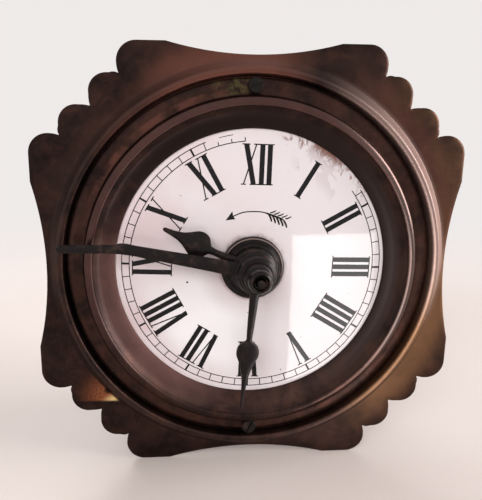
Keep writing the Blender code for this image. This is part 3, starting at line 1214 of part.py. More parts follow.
def alarm_train(clock):
    """The alarm's escape wheel, the hammer arbor with its pallets, the hammer and the bell."""
    axis = clock.axis("alarm_escape_axis", ALARM_ESCAPE_PLACE)
    mesh = arbor(ARBOR_BOTTOM, ARBOR_TOP, THIN_ARBOR)
    body = clock.piece("alarm_escape_wheel", mesh, "steel", axis)
    high = -ALARM_GREAT_DEPTH + GAP
    phase = driven_phase(ALARM_ESCAPE_ANGLE, ALARM_LEAVES)
    leaves = gear_loop(ALARM_LEAVES, ALARM_MODULE, phase)
    clock.add(body, flat_mesh([leaves], high - GREAT_THICKNESS - 2 * GAP, high))
    teeth = tooth_loop(ALARM_ESCAPE_TEETH, ALARM_ESCAPE_RADIUS, ALARM_ESCAPE_RADIUS * ALARM_ROOT_SHARE)
    mesh = flat_mesh([teeth], -ALARM_ESCAPE_DEPTH - WHEEL_THICKNESS, -ALARM_ESCAPE_DEPTH)
    clock.add(body, mesh)
    axis = clock.axis("hammer_axis", HAMMER_PLACE)
    end = -HAMMER_DEPTH - 2 * HAMMER_ARM
    profile = [(0, FRONT_PLATE_FACE), (PIVOT, FRONT_PLATE_FACE), (PIVOT, ARBOR_TOP)]
    profile += [(THIN_ARBOR, ARBOR_TOP), (THIN_ARBOR, ARBOR_BOTTOM), (PIVOT, ARBOR_BOTTOM)]
    profile += [(PIVOT, end), (0, end)]
    body = clock.piece("hammer_arbor", turned_mesh(profile, TINY), "steel", axis)
    low = -ALARM_ESCAPE_DEPTH - WHEEL_THICKNESS - GAP - WHEEL_THICKNESS
    verge = HAMMER_ANGLE + TURN / 2
    for side in (-1, 1):
        reach = polar(HAMMER_DISTANCE * 0.6, verge + side * 36 * DEGREE)
        clock.add(body, flat_mesh([bar((0, 0), reach, LEVER_HALF_WIDTH)], low, low + WHEEL_THICKNESS))
    strike = polar(BELL_RADIUS + HAMMER_STANDOFF + HAMMER_HEAD, HAMMER_STRIKE_ANGLE, BELL_PLACE)
    angle, distance = aim(HAMMER_PLACE, strike)
    head_place = polar(distance, angle)
    high = -HAMMER_DEPTH + HAMMER_ARM
    low = -HAMMER_DEPTH - HAMMER_ARM
    mesh = flat_mesh([bar(polar(PIVOT + 2 * GAP, angle), head_place, HAMMER_ARM)], low, high)
    hammer = clock.piece("hammer", mesh, "steel", axis)
    collar = [circle(PIVOT + 4 * GAP, TINY), circle(PIVOT + GAP, TINY)]
    clock.add(hammer, flat_mesh(collar, low - GAP, high + GAP))
    head = moved(turned_mesh(rod(HAMMER_HEAD, low - HAMMER_HEAD / 2, high + HAMMER_HEAD / 2), SMALL),
                 head_place)
    clock.add(hammer, head)
    bell(clock)


def bell(clock):
    """A dished bell, open towards the movement, on a post through its crown."""
    crown = -BELL_DEPTH - BELL_HEIGHT
    rows = ((1.0, 0.0), (0.94, 0.45), (0.74, 0.82), (0.42, 1.0))
    outside = [(BELL_RADIUS * wide, -BELL_DEPTH - BELL_HEIGHT * deep) for wide, deep in rows]
    inside = [(radius - BELL_WALL, height + BELL_WALL * deep)
              for (radius, height), (_, deep) in zip(outside, rows)]
    hole = BELL_POST + GAP
    profile = outside + [(hole, crown), (hole, crown + BELL_WALL)] + inside[::-1]
    mesh = moved(turned_mesh(profile, COARSE), BELL_PLACE)
    clock.piece("bell", mesh, "bell_metal")
    low = crown - GAP
    profile = [(0, BACK_PLATE_BACK - GAP), (2 * BELL_POST, BACK_PLATE_BACK - GAP)]
    profile += [(2 * BELL_POST, crown + BELL_WALL + GAP), (BELL_POST, crown + BELL_WALL + GAP)]
    profile += [(BELL_POST, low), (BELL_POST, low - BELL_POST), (0, low - BELL_POST)]
    mesh = moved(turned_mesh(profile, SMALL), BELL_PLACE)
    clock.piece("bell_post", mesh, "steel")


def pivoted_lever(clock, name, place, ends, depth, bore=0):
    """A flat lever on a stud of the back plate, with one straight arm to each of the ends.

    A stud that stands round another arbor's pivot is hollow, with that bore.
    """
    axis = clock.axis(name + "_axis", place)
    stud = bore + STUD_RADIUS
    hub = stud + GAP + LEVER_HALF_WIDTH
    low = -depth - LEVER_THICKNESS
    mesh = flat_mesh([circle(hub, SMALL), circle(stud + GAP, SMALL)], low, -depth)
    lever = clock.piece(name, mesh, "steel", axis)
    for end in ends:
        angle, _ = aim((0, 0), end)
        start = polar(stud + 2 * GAP, angle)
        clock.add(lever, flat_mesh([bar(start, end, LEVER_HALF_WIDTH)], low, -depth))
    loops = [circle(stud, SMALL, place)]
    if bore:
        loops.append(circle(bore, TINY, place))
    plate = bpy.data.objects["back_plate"]
    clock.add(plate, flat_mesh(loops, low - GAP, BACK_PLATE_BACK + PLATE_THICKNESS / 2))
    return lever


def levers(clock):
    """The release lever at the cam, the stop lever at the hammer and the regulator."""
    nose = (-CAM_RADIUS - LEVER_HALF_WIDTH - GAP, 0)
    near_hammer = (HAMMER_PLACE[0] - RELEASE_PLACE[0], HAMMER_PLACE[1] - RELEASE_PLACE[1])
    angle, distance = aim((0, 0), near_hammer)
    tail = polar(distance - PIVOT - 5 * GAP - LEVER_HALF_WIDTH, angle)
    ends = [(nose[0] - RELEASE_PLACE[0], nose[1] - RELEASE_PLACE[1]), tail]
    pivoted_lever(clock, "release_lever", RELEASE_PLACE, ends, CAM_DEPTH)
    near_hammer = (HAMMER_PLACE[0] - STOP_PLACE[0], HAMMER_PLACE[1] - STOP_PLACE[1])
    angle, distance = aim((0, 0), near_hammer)
    finger = polar(distance - PIVOT - 6 * GAP - LEVER_HALF_WIDTH, angle)
    pin_place = polar(STOP_PIN_ARM, STOP_PIN_ANGLE)
    lever = pivoted_lever(clock, "alarm_stop_lever", STOP_PLACE, [finger, pin_place], CAM_DEPTH)
    clock.add(lever, flat_mesh([circle(PIN_RADIUS, TINY, pin_place)], PIN_END, -CAM_DEPTH - GAP))
    pin_place = polar(REGULATOR_ARM, REGULATOR_ANGLE)
    bore = PIVOT + GAP
    lever = pivoted_lever(clock, "regulator_lever", BALANCE_PLACE, [pin_place], REGULATOR_DEPTH, bore)
    clock.add(lever, flat_mesh([circle(PIN_RADIUS, TINY, pin_place)], PIN_END, -REGULATOR_DEPTH - GAP))


def main():
    clear_scene()
    clock = Clock("travel_alarm_clock", (0, MIDDLE_DEPTH, FRAME_HALF))
    front_frame(clock)
    bezel_ring(clock)
    dial_parts(clock)
    drum_parts(clock)
    movement_frame(clock)
    centre_works(clock)
    hour_works(clock)
    setting_works(clock)
    alarm_setting(clock)
    wheel = (GREAT_TEETH, GREAT_MODULE, GREAT_ANGLE + TURN / 2)
    winding_works(clock, "time", GREAT_PLACE, TIME_SPRING_RADIUS, PILLAR_PLACES[1], GREAT_DEPTH, wheel)
    wheel = (ALARM_TEETH, ALARM_MODULE, ALARM_ESCAPE_ANGLE)
    winding_works(clock, "alarm", ALARM_PLACE, ALARM_SPRING_RADIUS, PILLAR_PLACES[0],
                  ALARM_GREAT_DEPTH, wheel)
    going_train(clock)
    escapement(clock)
    alarm_train(clock)
    levers(clock)
    clock.finish()


main()
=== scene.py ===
"""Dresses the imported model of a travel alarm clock: patinated frame, enamel dial, hands, drum and stage."""

import bpy
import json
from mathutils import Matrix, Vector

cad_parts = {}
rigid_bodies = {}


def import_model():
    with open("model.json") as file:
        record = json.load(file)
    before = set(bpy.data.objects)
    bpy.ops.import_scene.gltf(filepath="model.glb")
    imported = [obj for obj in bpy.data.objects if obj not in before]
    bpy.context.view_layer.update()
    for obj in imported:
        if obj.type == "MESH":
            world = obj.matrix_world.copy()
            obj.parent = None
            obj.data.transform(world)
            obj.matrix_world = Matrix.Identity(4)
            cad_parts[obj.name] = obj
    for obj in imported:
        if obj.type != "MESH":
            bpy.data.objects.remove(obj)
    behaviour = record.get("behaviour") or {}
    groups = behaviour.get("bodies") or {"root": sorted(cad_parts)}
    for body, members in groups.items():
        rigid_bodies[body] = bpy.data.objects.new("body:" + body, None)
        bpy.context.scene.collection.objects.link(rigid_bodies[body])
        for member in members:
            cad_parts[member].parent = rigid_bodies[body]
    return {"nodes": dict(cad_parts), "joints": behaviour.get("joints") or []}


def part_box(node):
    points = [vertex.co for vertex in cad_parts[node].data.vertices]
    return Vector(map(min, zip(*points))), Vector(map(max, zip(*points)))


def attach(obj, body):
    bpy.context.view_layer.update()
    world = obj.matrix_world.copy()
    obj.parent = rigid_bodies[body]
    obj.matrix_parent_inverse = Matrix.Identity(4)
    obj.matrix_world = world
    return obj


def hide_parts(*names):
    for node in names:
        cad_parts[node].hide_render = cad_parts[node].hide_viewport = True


for leftover in list(bpy.data.objects):
    bpy.data.objects.remove(leftover)
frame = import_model()

import json
import math
from functools import cache, cached_property

import bmesh
from bpy.props import FloatProperty, FloatVectorProperty, IntProperty, PointerProperty
from mathutils import Euler, Vector

bl_info = {
    "name": "Travel alarm clock",
    "version": (1, 0, 0),
    "blender": (4, 5, 0),
    "location": "3D View > Sidebar > Clock",
    "description": "Builds the visible pieces and finishes of a travel alarm clock round its packed frame",
    "category": "Object",
}

# Shapes and finishes are worked out in millimetres; the frame, the lamps and the camera are in metres
MM = 0.001
TURN = 2 * math.pi
DEGREE = TURN / 360
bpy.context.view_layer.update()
JOINTS = {joint["name"]: joint for joint in frame["joints"]}
FACE = Vector(JOINTS["minute_turn"]["pos_m"])
NODES = frame["nodes"]


@cache
def node_depth(node):
    """How far a node reaches in front of the face of the frame: (back, front)."""
    low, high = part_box(node)
    return (FACE.y - high[1]) / MM, (FACE.y - low[1]) / MM


@cache
def node_half(node):
    """Half the width of a node."""
    low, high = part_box(node)
    return (high[0] - low[0]) / 2 / MM


def from_middle(place):
    """A place in the world as seen from the front, from the middle of the dial."""
    return ((place[0] - FACE.x) / MM, (place[2] - FACE.z) / MM)


def node_place(node):
    return from_middle([(low + high) / 2 for low, high in zip(*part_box(node))])


def joint_place(joint):
    return from_middle(JOINTS[joint]["pos_m"])


# Sizes and colours that a user may change

def length(name, description, default):
    """A size whose default is given in millimetres."""
    return FloatProperty(name=name, description=description, default=default * MM,
                         subtype="DISTANCE", unit="LENGTH")


def colour(name, description, default):
    return FloatVectorProperty(name=name, description=description, default=default, subtype="COLOR",
                               size=3, min=0.0, max=1.0)


class ClockSizes(bpy.types.PropertyGroup):
    """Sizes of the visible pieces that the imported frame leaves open"""

    sheet: length("Sheet", "Thickness of the stamped brass sheet", 0.7)
    edge_roll: length("Edge roll", "How far the frame's edge turns back", 0.28)
    track_outer: length("Track outer radius", "Outer circle of the minute track", 31.9)
    track_inner: length("Track inner radius", "Inner circle of the minute track", 30.1)
    numeral_top: length("Numeral top", "Radius of the numerals' outer ends", 29.3)
    numeral_foot: length("Numeral foot", "Radius of the numerals' inner ends", 19.9)
    stroke: length("Bold stroke", "Width of a numeral's bold stroke", 1.2)
    hairline: length("Hairline", "Width of the fine lines on the dial", 0.25)
    ink: length("Ink", "How far the fired ink stands above the enamel", 0.02)
    print_right: length("Print to the right", "How far the print stands off the dial's middle", 0.27)
    print_up: length("Print up", "How far the print stands above the dial's middle", 0.16)
    print_turn: FloatProperty(name="Print turn", description="Turn of the print on the dial, clockwise",
                              default=1.5 * DEGREE, subtype="ANGLE", unit="ROTATION")
    hand_crown: length("Hand crown", "Rise of a hand's blade along its middle", 0.22)
    slot_width: length("Screw slot width", "Width of the slots in the bezel's screws", 0.5)
    slot_depth: length("Screw slot depth", "Depth of the slots in the screws", 0.5)
    facets: IntProperty(name="Facets", description="Sides of the large turned pieces", default=192,
                        min=48, max=512)


class ClockColours(bpy.types.PropertyGroup):
    """Colours of the finishes"""

    # Dark patina; also painted as shade on the ring's inner wall at the upper right.
    dark_patina_and_shade: colour("Dark patina", "Oldest, darkest part of the bronzing", (0.0115, 0.0072, 0.0066))
    patina_mid: colour("Brown patina", "Even part of the bronzing", (0.034, 0.0185, 0.0148))
    patina_red: colour("Red patina", "Warm part of the bronzing at the top", (0.145, 0.057, 0.041))
    patina_gold: colour("Worn brass", "Brass that shows through at the lower right", (0.15, 0.076, 0.038))
    # Pale patina; also painted as highlight on the frame's rim and on the bead at the right.
    pale_patina_and_highlight: colour("Rubbed patina", "Paler bronzing where the rim is handled", (0.37, 0.275, 0.25))
    # Rose brown, painted as a reflection on the ring's inner wall at the lower left; also laid along the bead's
    # crest.
    rose_patina_and_reflection: colour("Rose patina", "Dusty rose brown at the lower left of the ring", (0.165, 0.083, 0.076))
    rubbed_brass: colour("Rubbed brass", "Brass that shows warmly round the rubbed spot", (0.40, 0.135, 0.058))
    bright_brass: colour("Bright brass", "Freshly rubbed brass", (0.95, 0.74, 0.34))
    patina_olive: colour("Olive patina", "Greenish film by the top screw", (0.085, 0.068, 0.03))
    enamel_white: colour("Enamel", "White of the dial", (0.70, 0.655, 0.675))
    # Painted light: paler enamel that lifts the shade on the dial at the lower left.
    enamel_painted_light: colour("Clean enamel", "Paler enamel at the lower left", (0.84, 0.83, 0.85))
    enamel_pink: colour("Aged enamel", "Warm tint of the dial's left side", (0.62, 0.50, 0.51))
    enamel_grey: colour("Dull enamel", "Greyed patch where the glaze is worn", (0.50, 0.43, 0.455))
    stain: colour("Stain", "Rust stains on the enamel", (0.16, 0.055, 0.030))
    ink: colour("Ink", "Fired black of the numerals", (0.006, 0.005, 0.006))
    blackened: colour("Blackened steel", "Hands and hubs", (0.007, 0.005, 0.0048))
    rust: colour("Brown steel", "Brown bloom on the blackened steel", (0.055, 0.031, 0.025))
    steel: colour("Steel", "Arbors, screws and levers", (0.36, 0.34, 0.32))
    brass: colour("Brass", "Plates, wheels and keys", (0.62, 0.40, 0.155))
    bell: colour("Bell metal", "The bell", (0.50, 0.36, 0.20))
    floor: colour("Floor", "The floor of the stage", (0.69, 0.62, 0.59))


# Places on the frame's front, right and up from the middle of the dial
RUBBED_SPOT = (-33.4, -35.5)
NAIL_MARK = (-36.1, -32.5)


# Materials

def arithmetic(operation):
    """The methods of an operator and of its reflected form, which add a Math node."""
    return (lambda self, other: self.maths(operation, self, other),
            lambda self, other: self.maths(operation, other, self))


class Signal:
    """A socket of a material; sums on it add the nodes that work them out."""

    __add__, __radd__ = arithmetic("ADD")
    __sub__, __rsub__ = arithmetic("SUBTRACT")
    __mul__, __rmul__ = arithmetic("MULTIPLY")
    __truediv__, __rtruediv__ = arithmetic("DIVIDE")
    __pow__, __rpow__ = arithmetic("POWER")

    def __init__(self, finish, socket):
        self.finish = finish
        self.socket = socket

    def maths(self, operation, *values):
        return self.finish.node("ShaderNodeMath", {"operation": operation}, dict(enumerate(values)))

    def size(self):
        return self.maths("ABSOLUTE", self)

    def least(self, other):
        return self.maths("MINIMUM", self, other)

    def rise(self, low, high):
        """0 below low, 1 above high and a smooth step between them."""
        inputs = {"Value": self, "From Min": low, "From Max": high, "To Min": 0.0, "To Max": 1.0}
        return self.finish.node("ShaderNodeMapRange", {"interpolation_type": "SMOOTHSTEP"}, inputs)

    def fall(self, low, high):
        return 1 - self.rise(low, high)

    def band(self, middle, half):
        """1 in the middle of a band and 0 outside it."""
        return (self - middle).size().fall(half * 0.4, half)


class Wiring:
    """The nodes of a material or of the world, added one by one."""

    def __init__(self, owner, output):
        owner.use_nodes = True
        self.tree = owner.node_tree
        self.tree.nodes.clear()
        self.output = self.tree.nodes.new(output)

    def show(self, value):
        self.feed(self.output.inputs["Surface"], value)

    def background_rays(self):
        """1 for the rays that see the plain background: from the camera, off gloss and through glass."""
        camera = self.node("ShaderNodeLightPath", {}, {}, "Is Camera Ray")
        outputs = camera.socket.node.outputs
        return camera + Signal(self, outputs["Is Glossy Ray"]) + Signal(self, outputs["Is Transmission Ray"])

    def node(self, kind, settings, inputs, output=0):
        made = self.tree.nodes.new(kind)
        for name, value in settings.items():
            setattr(made, name, value)
        for key, value in inputs.items():
            self.feed(made.inputs[key], value)
        return Signal(self, made.outputs[output])

    def feed(self, socket, value):
        if isinstance(value, Signal):
            self.tree.links.new(value.socket, socket)
        elif socket.type == "RGBA" and len(value) == 3:
            socket.default_value = (*value, 1)
        else:
            socket.default_value = value


class Finish(Wiring):
    """A material whose Principled shader is fed by the nodes that its methods add."""

    def __init__(self, name, ground):
        material = bpy.data.materials.get(name) or bpy.data.materials.new(name)
        super().__init__(material, "ShaderNodeOutputMaterial")
        self.body = self.node("ShaderNodeBsdfPrincipled", {}, {"Base Color": ground})
        self.shader = self.body.socket.node
        self.show(self.body)
        self.where = self.node("ShaderNodeTexCoord", {}, {}, "Object")

    def set(self, **inputs):
        for name, value in inputs.items():
            self.feed(self.shader.inputs[name.replace("_", " ")], value)

    def so_far(self, name):
        """What an input of the shader holds, or what feeds it."""
        socket = self.shader.inputs[name]
        return Signal(self, socket.links[0].from_socket) if socket.is_linked else tuple(socket.default_value)

    def paint(self, share, tint):
        """Lays a share of a colour over the base colour so far."""
        inputs = {0: share, 6: self.so_far("Base Color"), 7: tint}
        self.set(Base_Color=self.node("ShaderNodeMix", {"data_type": "RGBA"}, inputs, 2))

    def noise(self, grain, detail=4.0, roughness=0.55, distortion=0.0, stretch=None):
        """Noise from 0 to 1 whose patches are about a grain across."""
        where = self.where
        if stretch:
            where = self.node("ShaderNodeVectorMath", {"operation": "MULTIPLY"}, {0: where, 1: stretch})
        inputs = {"Vector": where, "Scale": 1 / (grain * MM), "Detail": detail, "Roughness": roughness,
                  "Distortion": distortion}
        return self.node("ShaderNodeTexNoise", {}, inputs)

    @cached_property
    def place(self):
        """Right and up from the middle of the dial and depth behind the frame's face."""
        apart = self.node("ShaderNodeSeparateXYZ", {}, {0: self.where})
        right, away, up = [Signal(self, socket) for socket in apart.socket.node.outputs]
        return (right - FACE.x) * 1000, (up - FACE.z) * 1000, (away - FACE.y) * 1000

    @cached_property
    def radius(self):
        right, up, depth = self.place
        return (right * right + up * up) ** 0.5

    def toward(self, direction, near, far):
        """1 within a near angle of a direction from the middle, read as on the dial, and 0 beyond a far one."""
        right, up, depth = self.place
        cosine = (right * math.sin(direction * DEGREE) + up * math.cos(direction * DEGREE)) / self.radius
        return cosine.rise(math.cos(far * DEGREE), math.cos(near * DEGREE))

    def bump(self, height, depth, strength):
        """A normal from a height of 0 to 1 that stands for a depth."""
        return self.node("ShaderNodeBump", {}, {"Strength": strength, "Distance": depth * MM, "Height": height})


def bronzed(colours, name, wear=0.0):
    """Old chocolate-brown bronzing on brass, in clouds and fine mottles."""
    finish = Finish(name, colours.dark_patina_and_shade)
    clouds = finish.noise(15, 5, 0.6, 0.6)
    mottle = finish.noise(3.6, 6, 0.65, 0.3)
    specks = finish.noise(0.8, 4, 0.6)
    finish.paint(clouds.rise(0.36, 0.66), colours.patina_mid)
    finish.paint(mottle.rise(0.48, 0.70) * 0.55, colours.patina_mid)
    finish.paint(finish.noise(5, 5, 0.7, 0.6).rise(0.42, 0.78) * 0.24, colours.patina_red)
    finish.paint(finish.noise(22, 4, 0.6, 0.5).rise(0.5, 0.75) * wear, colours.patina_gold)
    finish.paint(specks.rise(0.62, 0.76) * 0.4, colours.dark_patina_and_shade)
    finish.set(Metallic=0.9, Roughness=0.30 + clouds * 0.1 + mottle * 0.12)
    finish.set(Normal=finish.bump(mottle * 0.6 + specks * 0.4, 0.03, 0.3))
    finish.set(Coat_Weight=0.07, Coat_Roughness=0.18, Specular_Tint=(0.55, 0.44, 0.4, 1))
    return finish


def frame_finish(colours):
    """The frame's bronzing: red at the top, olive gold at the right and rubbed bright at the lower left, with a
    painted highlight on the rim at the right.
    """
    finish = bronzed(colours, "bronzed_frame")
    right, up, depth = finish.place
    clouds = finish.noise(9, 4, 0.6, 0.5)
    drift = finish.radius + (clouds - 0.5) * 9
    warm = finish.toward(-8, 4, 27) * drift.fall(49.5, 56.5)
    warm = warm + finish.toward(-38, 4, 22) * drift.fall(48.5, 53) * 0.25
    warm = warm + finish.toward(62, 12, 40) * drift.fall(50.5, 56.5) * 0.45
    finish.paint((warm * (0.5 + clouds * 0.8)).least(0.9), colours.patina_red)
    worn = finish.toward(116, 10, 36) * drift.fall(51, 58)
    worn = worn + finish.toward(92, 10, 30) * drift.fall(50, 55) * 0.4
    worn = worn + finish.toward(62, 8, 30) * drift.rise(50, 55) * clouds.rise(0.3, 0.65) * 0.5
    finish.paint((worn * (0.2 + clouds * 1.1)).least(0.92), colours.patina_gold)
    swell = finish.radius.band(47.5, 1.7)
    # Painted highlight: a pale band on the rim at the right, and a faint pale band all round the swell that is
    # partly dust and partly painted highlight.
    painted_highlight = finish.radius.band(46.6, 3.3) * finish.toward(66, 20, 48)
    finish.paint(swell * 0.07 + painted_highlight * 0.5, colours.pale_patina_and_highlight)
    finish.set(Roughness=finish.so_far("Roughness") + swell * 0.16)
    grain = finish.noise(0.4, 3, 0.7)
    east, north = RUBBED_SPOT[0] - right, up - RUBBED_SPOT[1]
    reach = (east * east + north * north) ** 0.5 + (grain - 0.5) * 2.4
    fan = north.rise(-0.3, 0.5) * (east * 1.25 - north).rise(-0.6, 1.4)
    glow = fan * reach.fall(2.0, 12.0) * (0.3 + grain.rise(0.35, 0.68) * 0.9)
    finish.paint(glow.least(0.92), colours.rubbed_brass)
    finish.paint(fan * (reach + north * 0.9).fall(1.2, 5.2), colours.bright_brass)
    nail = ((right - NAIL_MARK[0]) ** 2 + (up - NAIL_MARK[1]) ** 2) ** 0.5
    nail = (nail + grain * 0.6).fall(0.9, 1.5)
    finish.paint(nail * 0.9, colours.dark_patina_and_shade)


def bezel_finish(colours):
    """The ring's bronzing: redder on the bead, greenish by the top screw and pitted at the lower right, with
    painted shade and a painted reflection on its inner wall and a painted highlight on the bead.
    """
    finish = bronzed(colours, "bronzed_ring")
    right, up, depth = finish.place
    radius = finish.radius
    streaks = finish.noise(7, 5, 0.6, 0.4)
    # Painted shade: the inner wall darker towards the upper right.
    wall_painted_shade = radius.fall(35.5, 38.5) * finish.toward(45, 70, 130)
    finish.paint(wall_painted_shade, colours.dark_patina_and_shade)
    # Painted reflection: a rose sheen on the inner wall at the lower left.
    wall_painted_reflection = radius.fall(34.0, 39.0) * finish.toward(240, 12, 60)
    finish.paint(wall_painted_reflection * (0.25 + streaks * 0.6), colours.rose_patina_and_reflection)
    crest = radius.band(39.3, 1.3) * finish.toward(-30, 60, 110)
    finish.paint(crest * 0.35, colours.rose_patina_and_reflection)
    copper = radius.band(41.6, 1.1) * streaks.rise(0.40, 0.62) * finish.toward(-38, 16, 40)
    finish.paint(copper * 0.7, colours.patina_red)
    olive = radius.rise(40.6, 41.4) * (up - 42).size().fall(1.5, 6) * (right + 5).size().fall(1.5, 7)
    finish.paint(olive * finish.noise(1.6, 4, 0.7).rise(0.42, 0.62), colours.patina_olive)
    polished = radius.band(39.4, 1.6) + radius.band(43.6, 0.9)
    finish.set(Roughness=finish.so_far("Roughness") - polished * 0.14)
    pits = finish.noise(2.4, 3, 0.5, 0.5).rise(0.64, 0.69) * radius.band(41.0, 3.4)
    finish.paint(pits * finish.toward(130, 15, 60) * 0.9, colours.dark_patina_and_shade)
    flange = radius.band(42.2, 2.4) * finish.noise(6, 4, 0.6).rise(0.35, 0.65)
    finish.paint(flange * 0.22, colours.patina_red)
    # Painted highlight on the bead at the right.
    finish.paint(radius.band(39.4, 1.0) * finish.toward(80, 25, 60) * 0.2, colours.pale_patina_and_highlight)


def enamel_finish(colours):
    """White fired enamel, pinkish at the left, stained and scratched at the upper right edge, with paler enamel
    painted as light at the lower left.
    """
    finish = Finish("dial_enamel", colours.enamel_white)
    right, up, depth = finish.place
    radius = finish.radius
    clouds = finish.noise(16, 3, 0.5, 0.4)
    finish.paint((right * -1).rise(-14, 34) * clouds.rise(0.2, 0.7), colours.enamel_pink)
    # Painted light: paler enamel at the lower left between the middle and the edge, lifting the shade there.
    dial_painted_light = finish.toward(222, 22, 52) * radius.rise(9, 15) * radius.fall(24, 31)
    finish.paint(dial_painted_light * 0.8, colours.enamel_painted_light)
    finish.paint(radius.rise(31.5, 35.0) * 0.4 * clouds.rise(0.25, 0.6), colours.enamel_pink)
    film = finish.noise(5.5, 3, 0.5, 1.2).rise(0.44, 0.5)
    film = finish.toward(40, 10, 24) * radius.rise(23.5, 27.5) * film
    finish.paint(film * 0.45, colours.enamel_grey)
    grit = finish.noise(1.5, 5, 0.7, 0.8, (1.0, 1.0, 0.5))
    drips = finish.toward(36, 12, 34) * radius.rise(27.0, 34.5) * 1.1
    drips = (grit + drips * 0.22).rise(0.68, 0.80)
    finish.paint(drips * 0.75, colours.stain)
    rust = finish.toward(33, 2, 10) * radius.rise(29.6, 33.0) * grit.rise(0.36, 0.52)
    finish.paint(rust * 0.9, colours.stain)
    soot = finish.noise(2.2, 4, 0.6)
    finish.paint(radius.fall(8.0, 14.0) * soot.rise(0.1, 0.8) * 0.3, colours.enamel_pink)
    finish.paint(radius.fall(7.6, 9.0) * soot.rise(0.3, 0.7) * 0.6, colours.stain)
    specks = finish.noise(1.1, 2, 0.5).rise(0.765, 0.79)
    finish.paint(specks * 0.75, colours.stain)
    finish.set(Roughness=0.05 + drips * 0.4 + clouds * 0.04, IOR=1.52)
    finish.set(Normal=finish.bump(finish.noise(9, 2, 0.5), 0.10, 0.45))


def ink_finish(colours):
    finish = Finish("dial_ink", colours.ink)
    grain = finish.noise(0.5, 3)
    finish.paint(grain.rise(0.6, 0.85) * 0.12, colours.enamel_pink)
    finish.set(Roughness=0.08 + grain * 0.06, Specular_IOR_Level=0.22)


def blackened_finish(colours, name, brown):
    """Blued steel gone black, with a brown bloom and fine scratches."""
    finish = Finish(name, colours.blackened)
    bloom = finish.noise(2.6, 5, 0.65, 0.4)
    grain = finish.noise(0.45, 4, 0.6)
    finish.paint(bloom.rise(0.50, 0.74) * brown, colours.rust)
    finish.paint(grain.rise(0.68, 0.8) * 0.22, colours.steel)
    finish.set(Metallic=0.4, Specular_IOR_Level=0.3, Roughness=0.20 + bloom * 0.24)
    finish.set(Normal=finish.bump(grain, 0.02, 0.4))
    return finish


def boss_finish(colours):
    """Blackened steel with a thin pale brown line along its rim towards the top."""
    finish = blackened_finish(colours, "blackened_boss", 1.0)
    line = finish.radius.band(node_half("centre_boss") - 0.42, 0.2)
    finish.paint(line * finish.toward(0, 50, 110) * 0.5, colours.pale_patina_and_highlight)


def metal_finish(name, tint, stain, rough, grain_size, brushed=None):
    """Plain metal with tarnish in clouds and a fine grain."""
    finish = Finish(name, tint)
    clouds = finish.noise(9, 5, 0.6, 0.5)
    grain = finish.noise(grain_size, 3, 0.5, 0.0, brushed)
    tarnish = tuple(channel * stain for channel in tint)
    finish.paint(clouds.rise(0.3, 0.75), tarnish)
    finish.paint(grain.rise(0.6, 0.8) * 0.3, tarnish)
    finish.set(Metallic=0.95, Roughness=rough + clouds * 0.16 + grain * 0.06)
    finish.set(Normal=finish.bump(grain, 0.01, 0.35))


def floor_finish(tint, far):
    """A plain pale floor, a little warmer in faint clouds, that fades into the backdrop far away."""
    finish = Finish("stage_floor", tint)
    warmer = tuple(channel * share for channel, share in zip(tint, (0.97, 0.95, 0.94)))
    finish.paint(finish.noise(120, 3).rise(0.3, 0.7), warmer)
    finish.set(Roughness=0.55)
    right, up, depth = finish.place
    distance = (right * right + depth * depth) ** 0.5
    glow = finish.node("ShaderNodeEmission", {}, {"Color": far, "Strength": 1.0})
    share = distance.rise(130, 420) * finish.background_rays()
    finish.show(finish.node("ShaderNodeMixShader", {}, {0: share, 1: finish.body, 2: glow}))


# Shapes, as lists of points and faces, in the face's own frame: right, up and out towards the viewer

def polar(radius, angle, centre=(0, 0)):
    return (centre[0] + radius * math.cos(angle), centre[1] + radius * math.sin(angle))


def clock_angle(angle):
    """Turns an angle read clockwise from twelve into one read from the right."""
    return TURN / 4 - angle


def arc(centre, radius, start, end, steps):
    return [polar(radius, start + (end - start) * step / steps, centre) for step in range(steps + 1)]


def circle(radius, sides, centre=(0, 0)):
    return [polar(radius, TURN * side / sides, centre) for side in range(sides)]


def moved(points, right=0.0, up=0.0):
    return [(right + x, up + y) for x, y in points]


def turned_about(points, angle):
    cosine, sine = math.cos(angle), math.sin(angle)
    return [(x * cosine - y * sine, x * sine + y * cosine) for x, y in points]


def bowed(start, end, rise, steps):
    """Points from start to end of a shallow arc that rises to its left."""
    reach = math.dist(start, end)
    points = []
    for step in range(steps + 1):
        share = step / steps
        swell = rise * 4 * share * (1 - share)
        x = start[0] + (end[0] - start[0]) * share
        y = start[1] + (end[1] - start[1]) * share
        points.append((x - (end[1] - start[1]) / reach * swell, y + (end[0] - start[0]) / reach * swell))
    return points


def smooth_table(rows, steps):
    """A finer table through the same rows, by cubic interpolation."""
    finer = []
    for index in range(len(rows) - 1):
        around = (rows[max(index - 1, 0)], rows[index], rows[index + 1], rows[min(index + 2, len(rows) - 1)])
        for step in range(steps):
            t = step / steps
            finer.append(tuple(0.5 * (2 * b + (c - a) * t + (2 * a - 5 * b + 4 * c - d) * t * t
                                      + (3 * b - a - 3 * c + d) * t**3) for a, b, c, d in zip(*around)))
    return finer + [tuple(rows[-1])]


def softened(profile, cut, steps=3):
    """The same closed profile with its corners cut to small curves, none longer than a third of its sides."""
    rounded = []
    for index, point in enumerate(profile):
        corner = Vector(point)
        first, last = [corner + side * min(1 / 3, cut / side.length)
                       for side in (Vector(profile[index - 1]) - corner,
                                    Vector(profile[(index + 1) % len(profile)]) - corner)]
        for step in range(steps + 1):
            t = step / steps
            rounded.append(tuple(first * (1 - t) ** 2 + corner * 2 * t * (1 - t) + last * t * t))
    return rounded


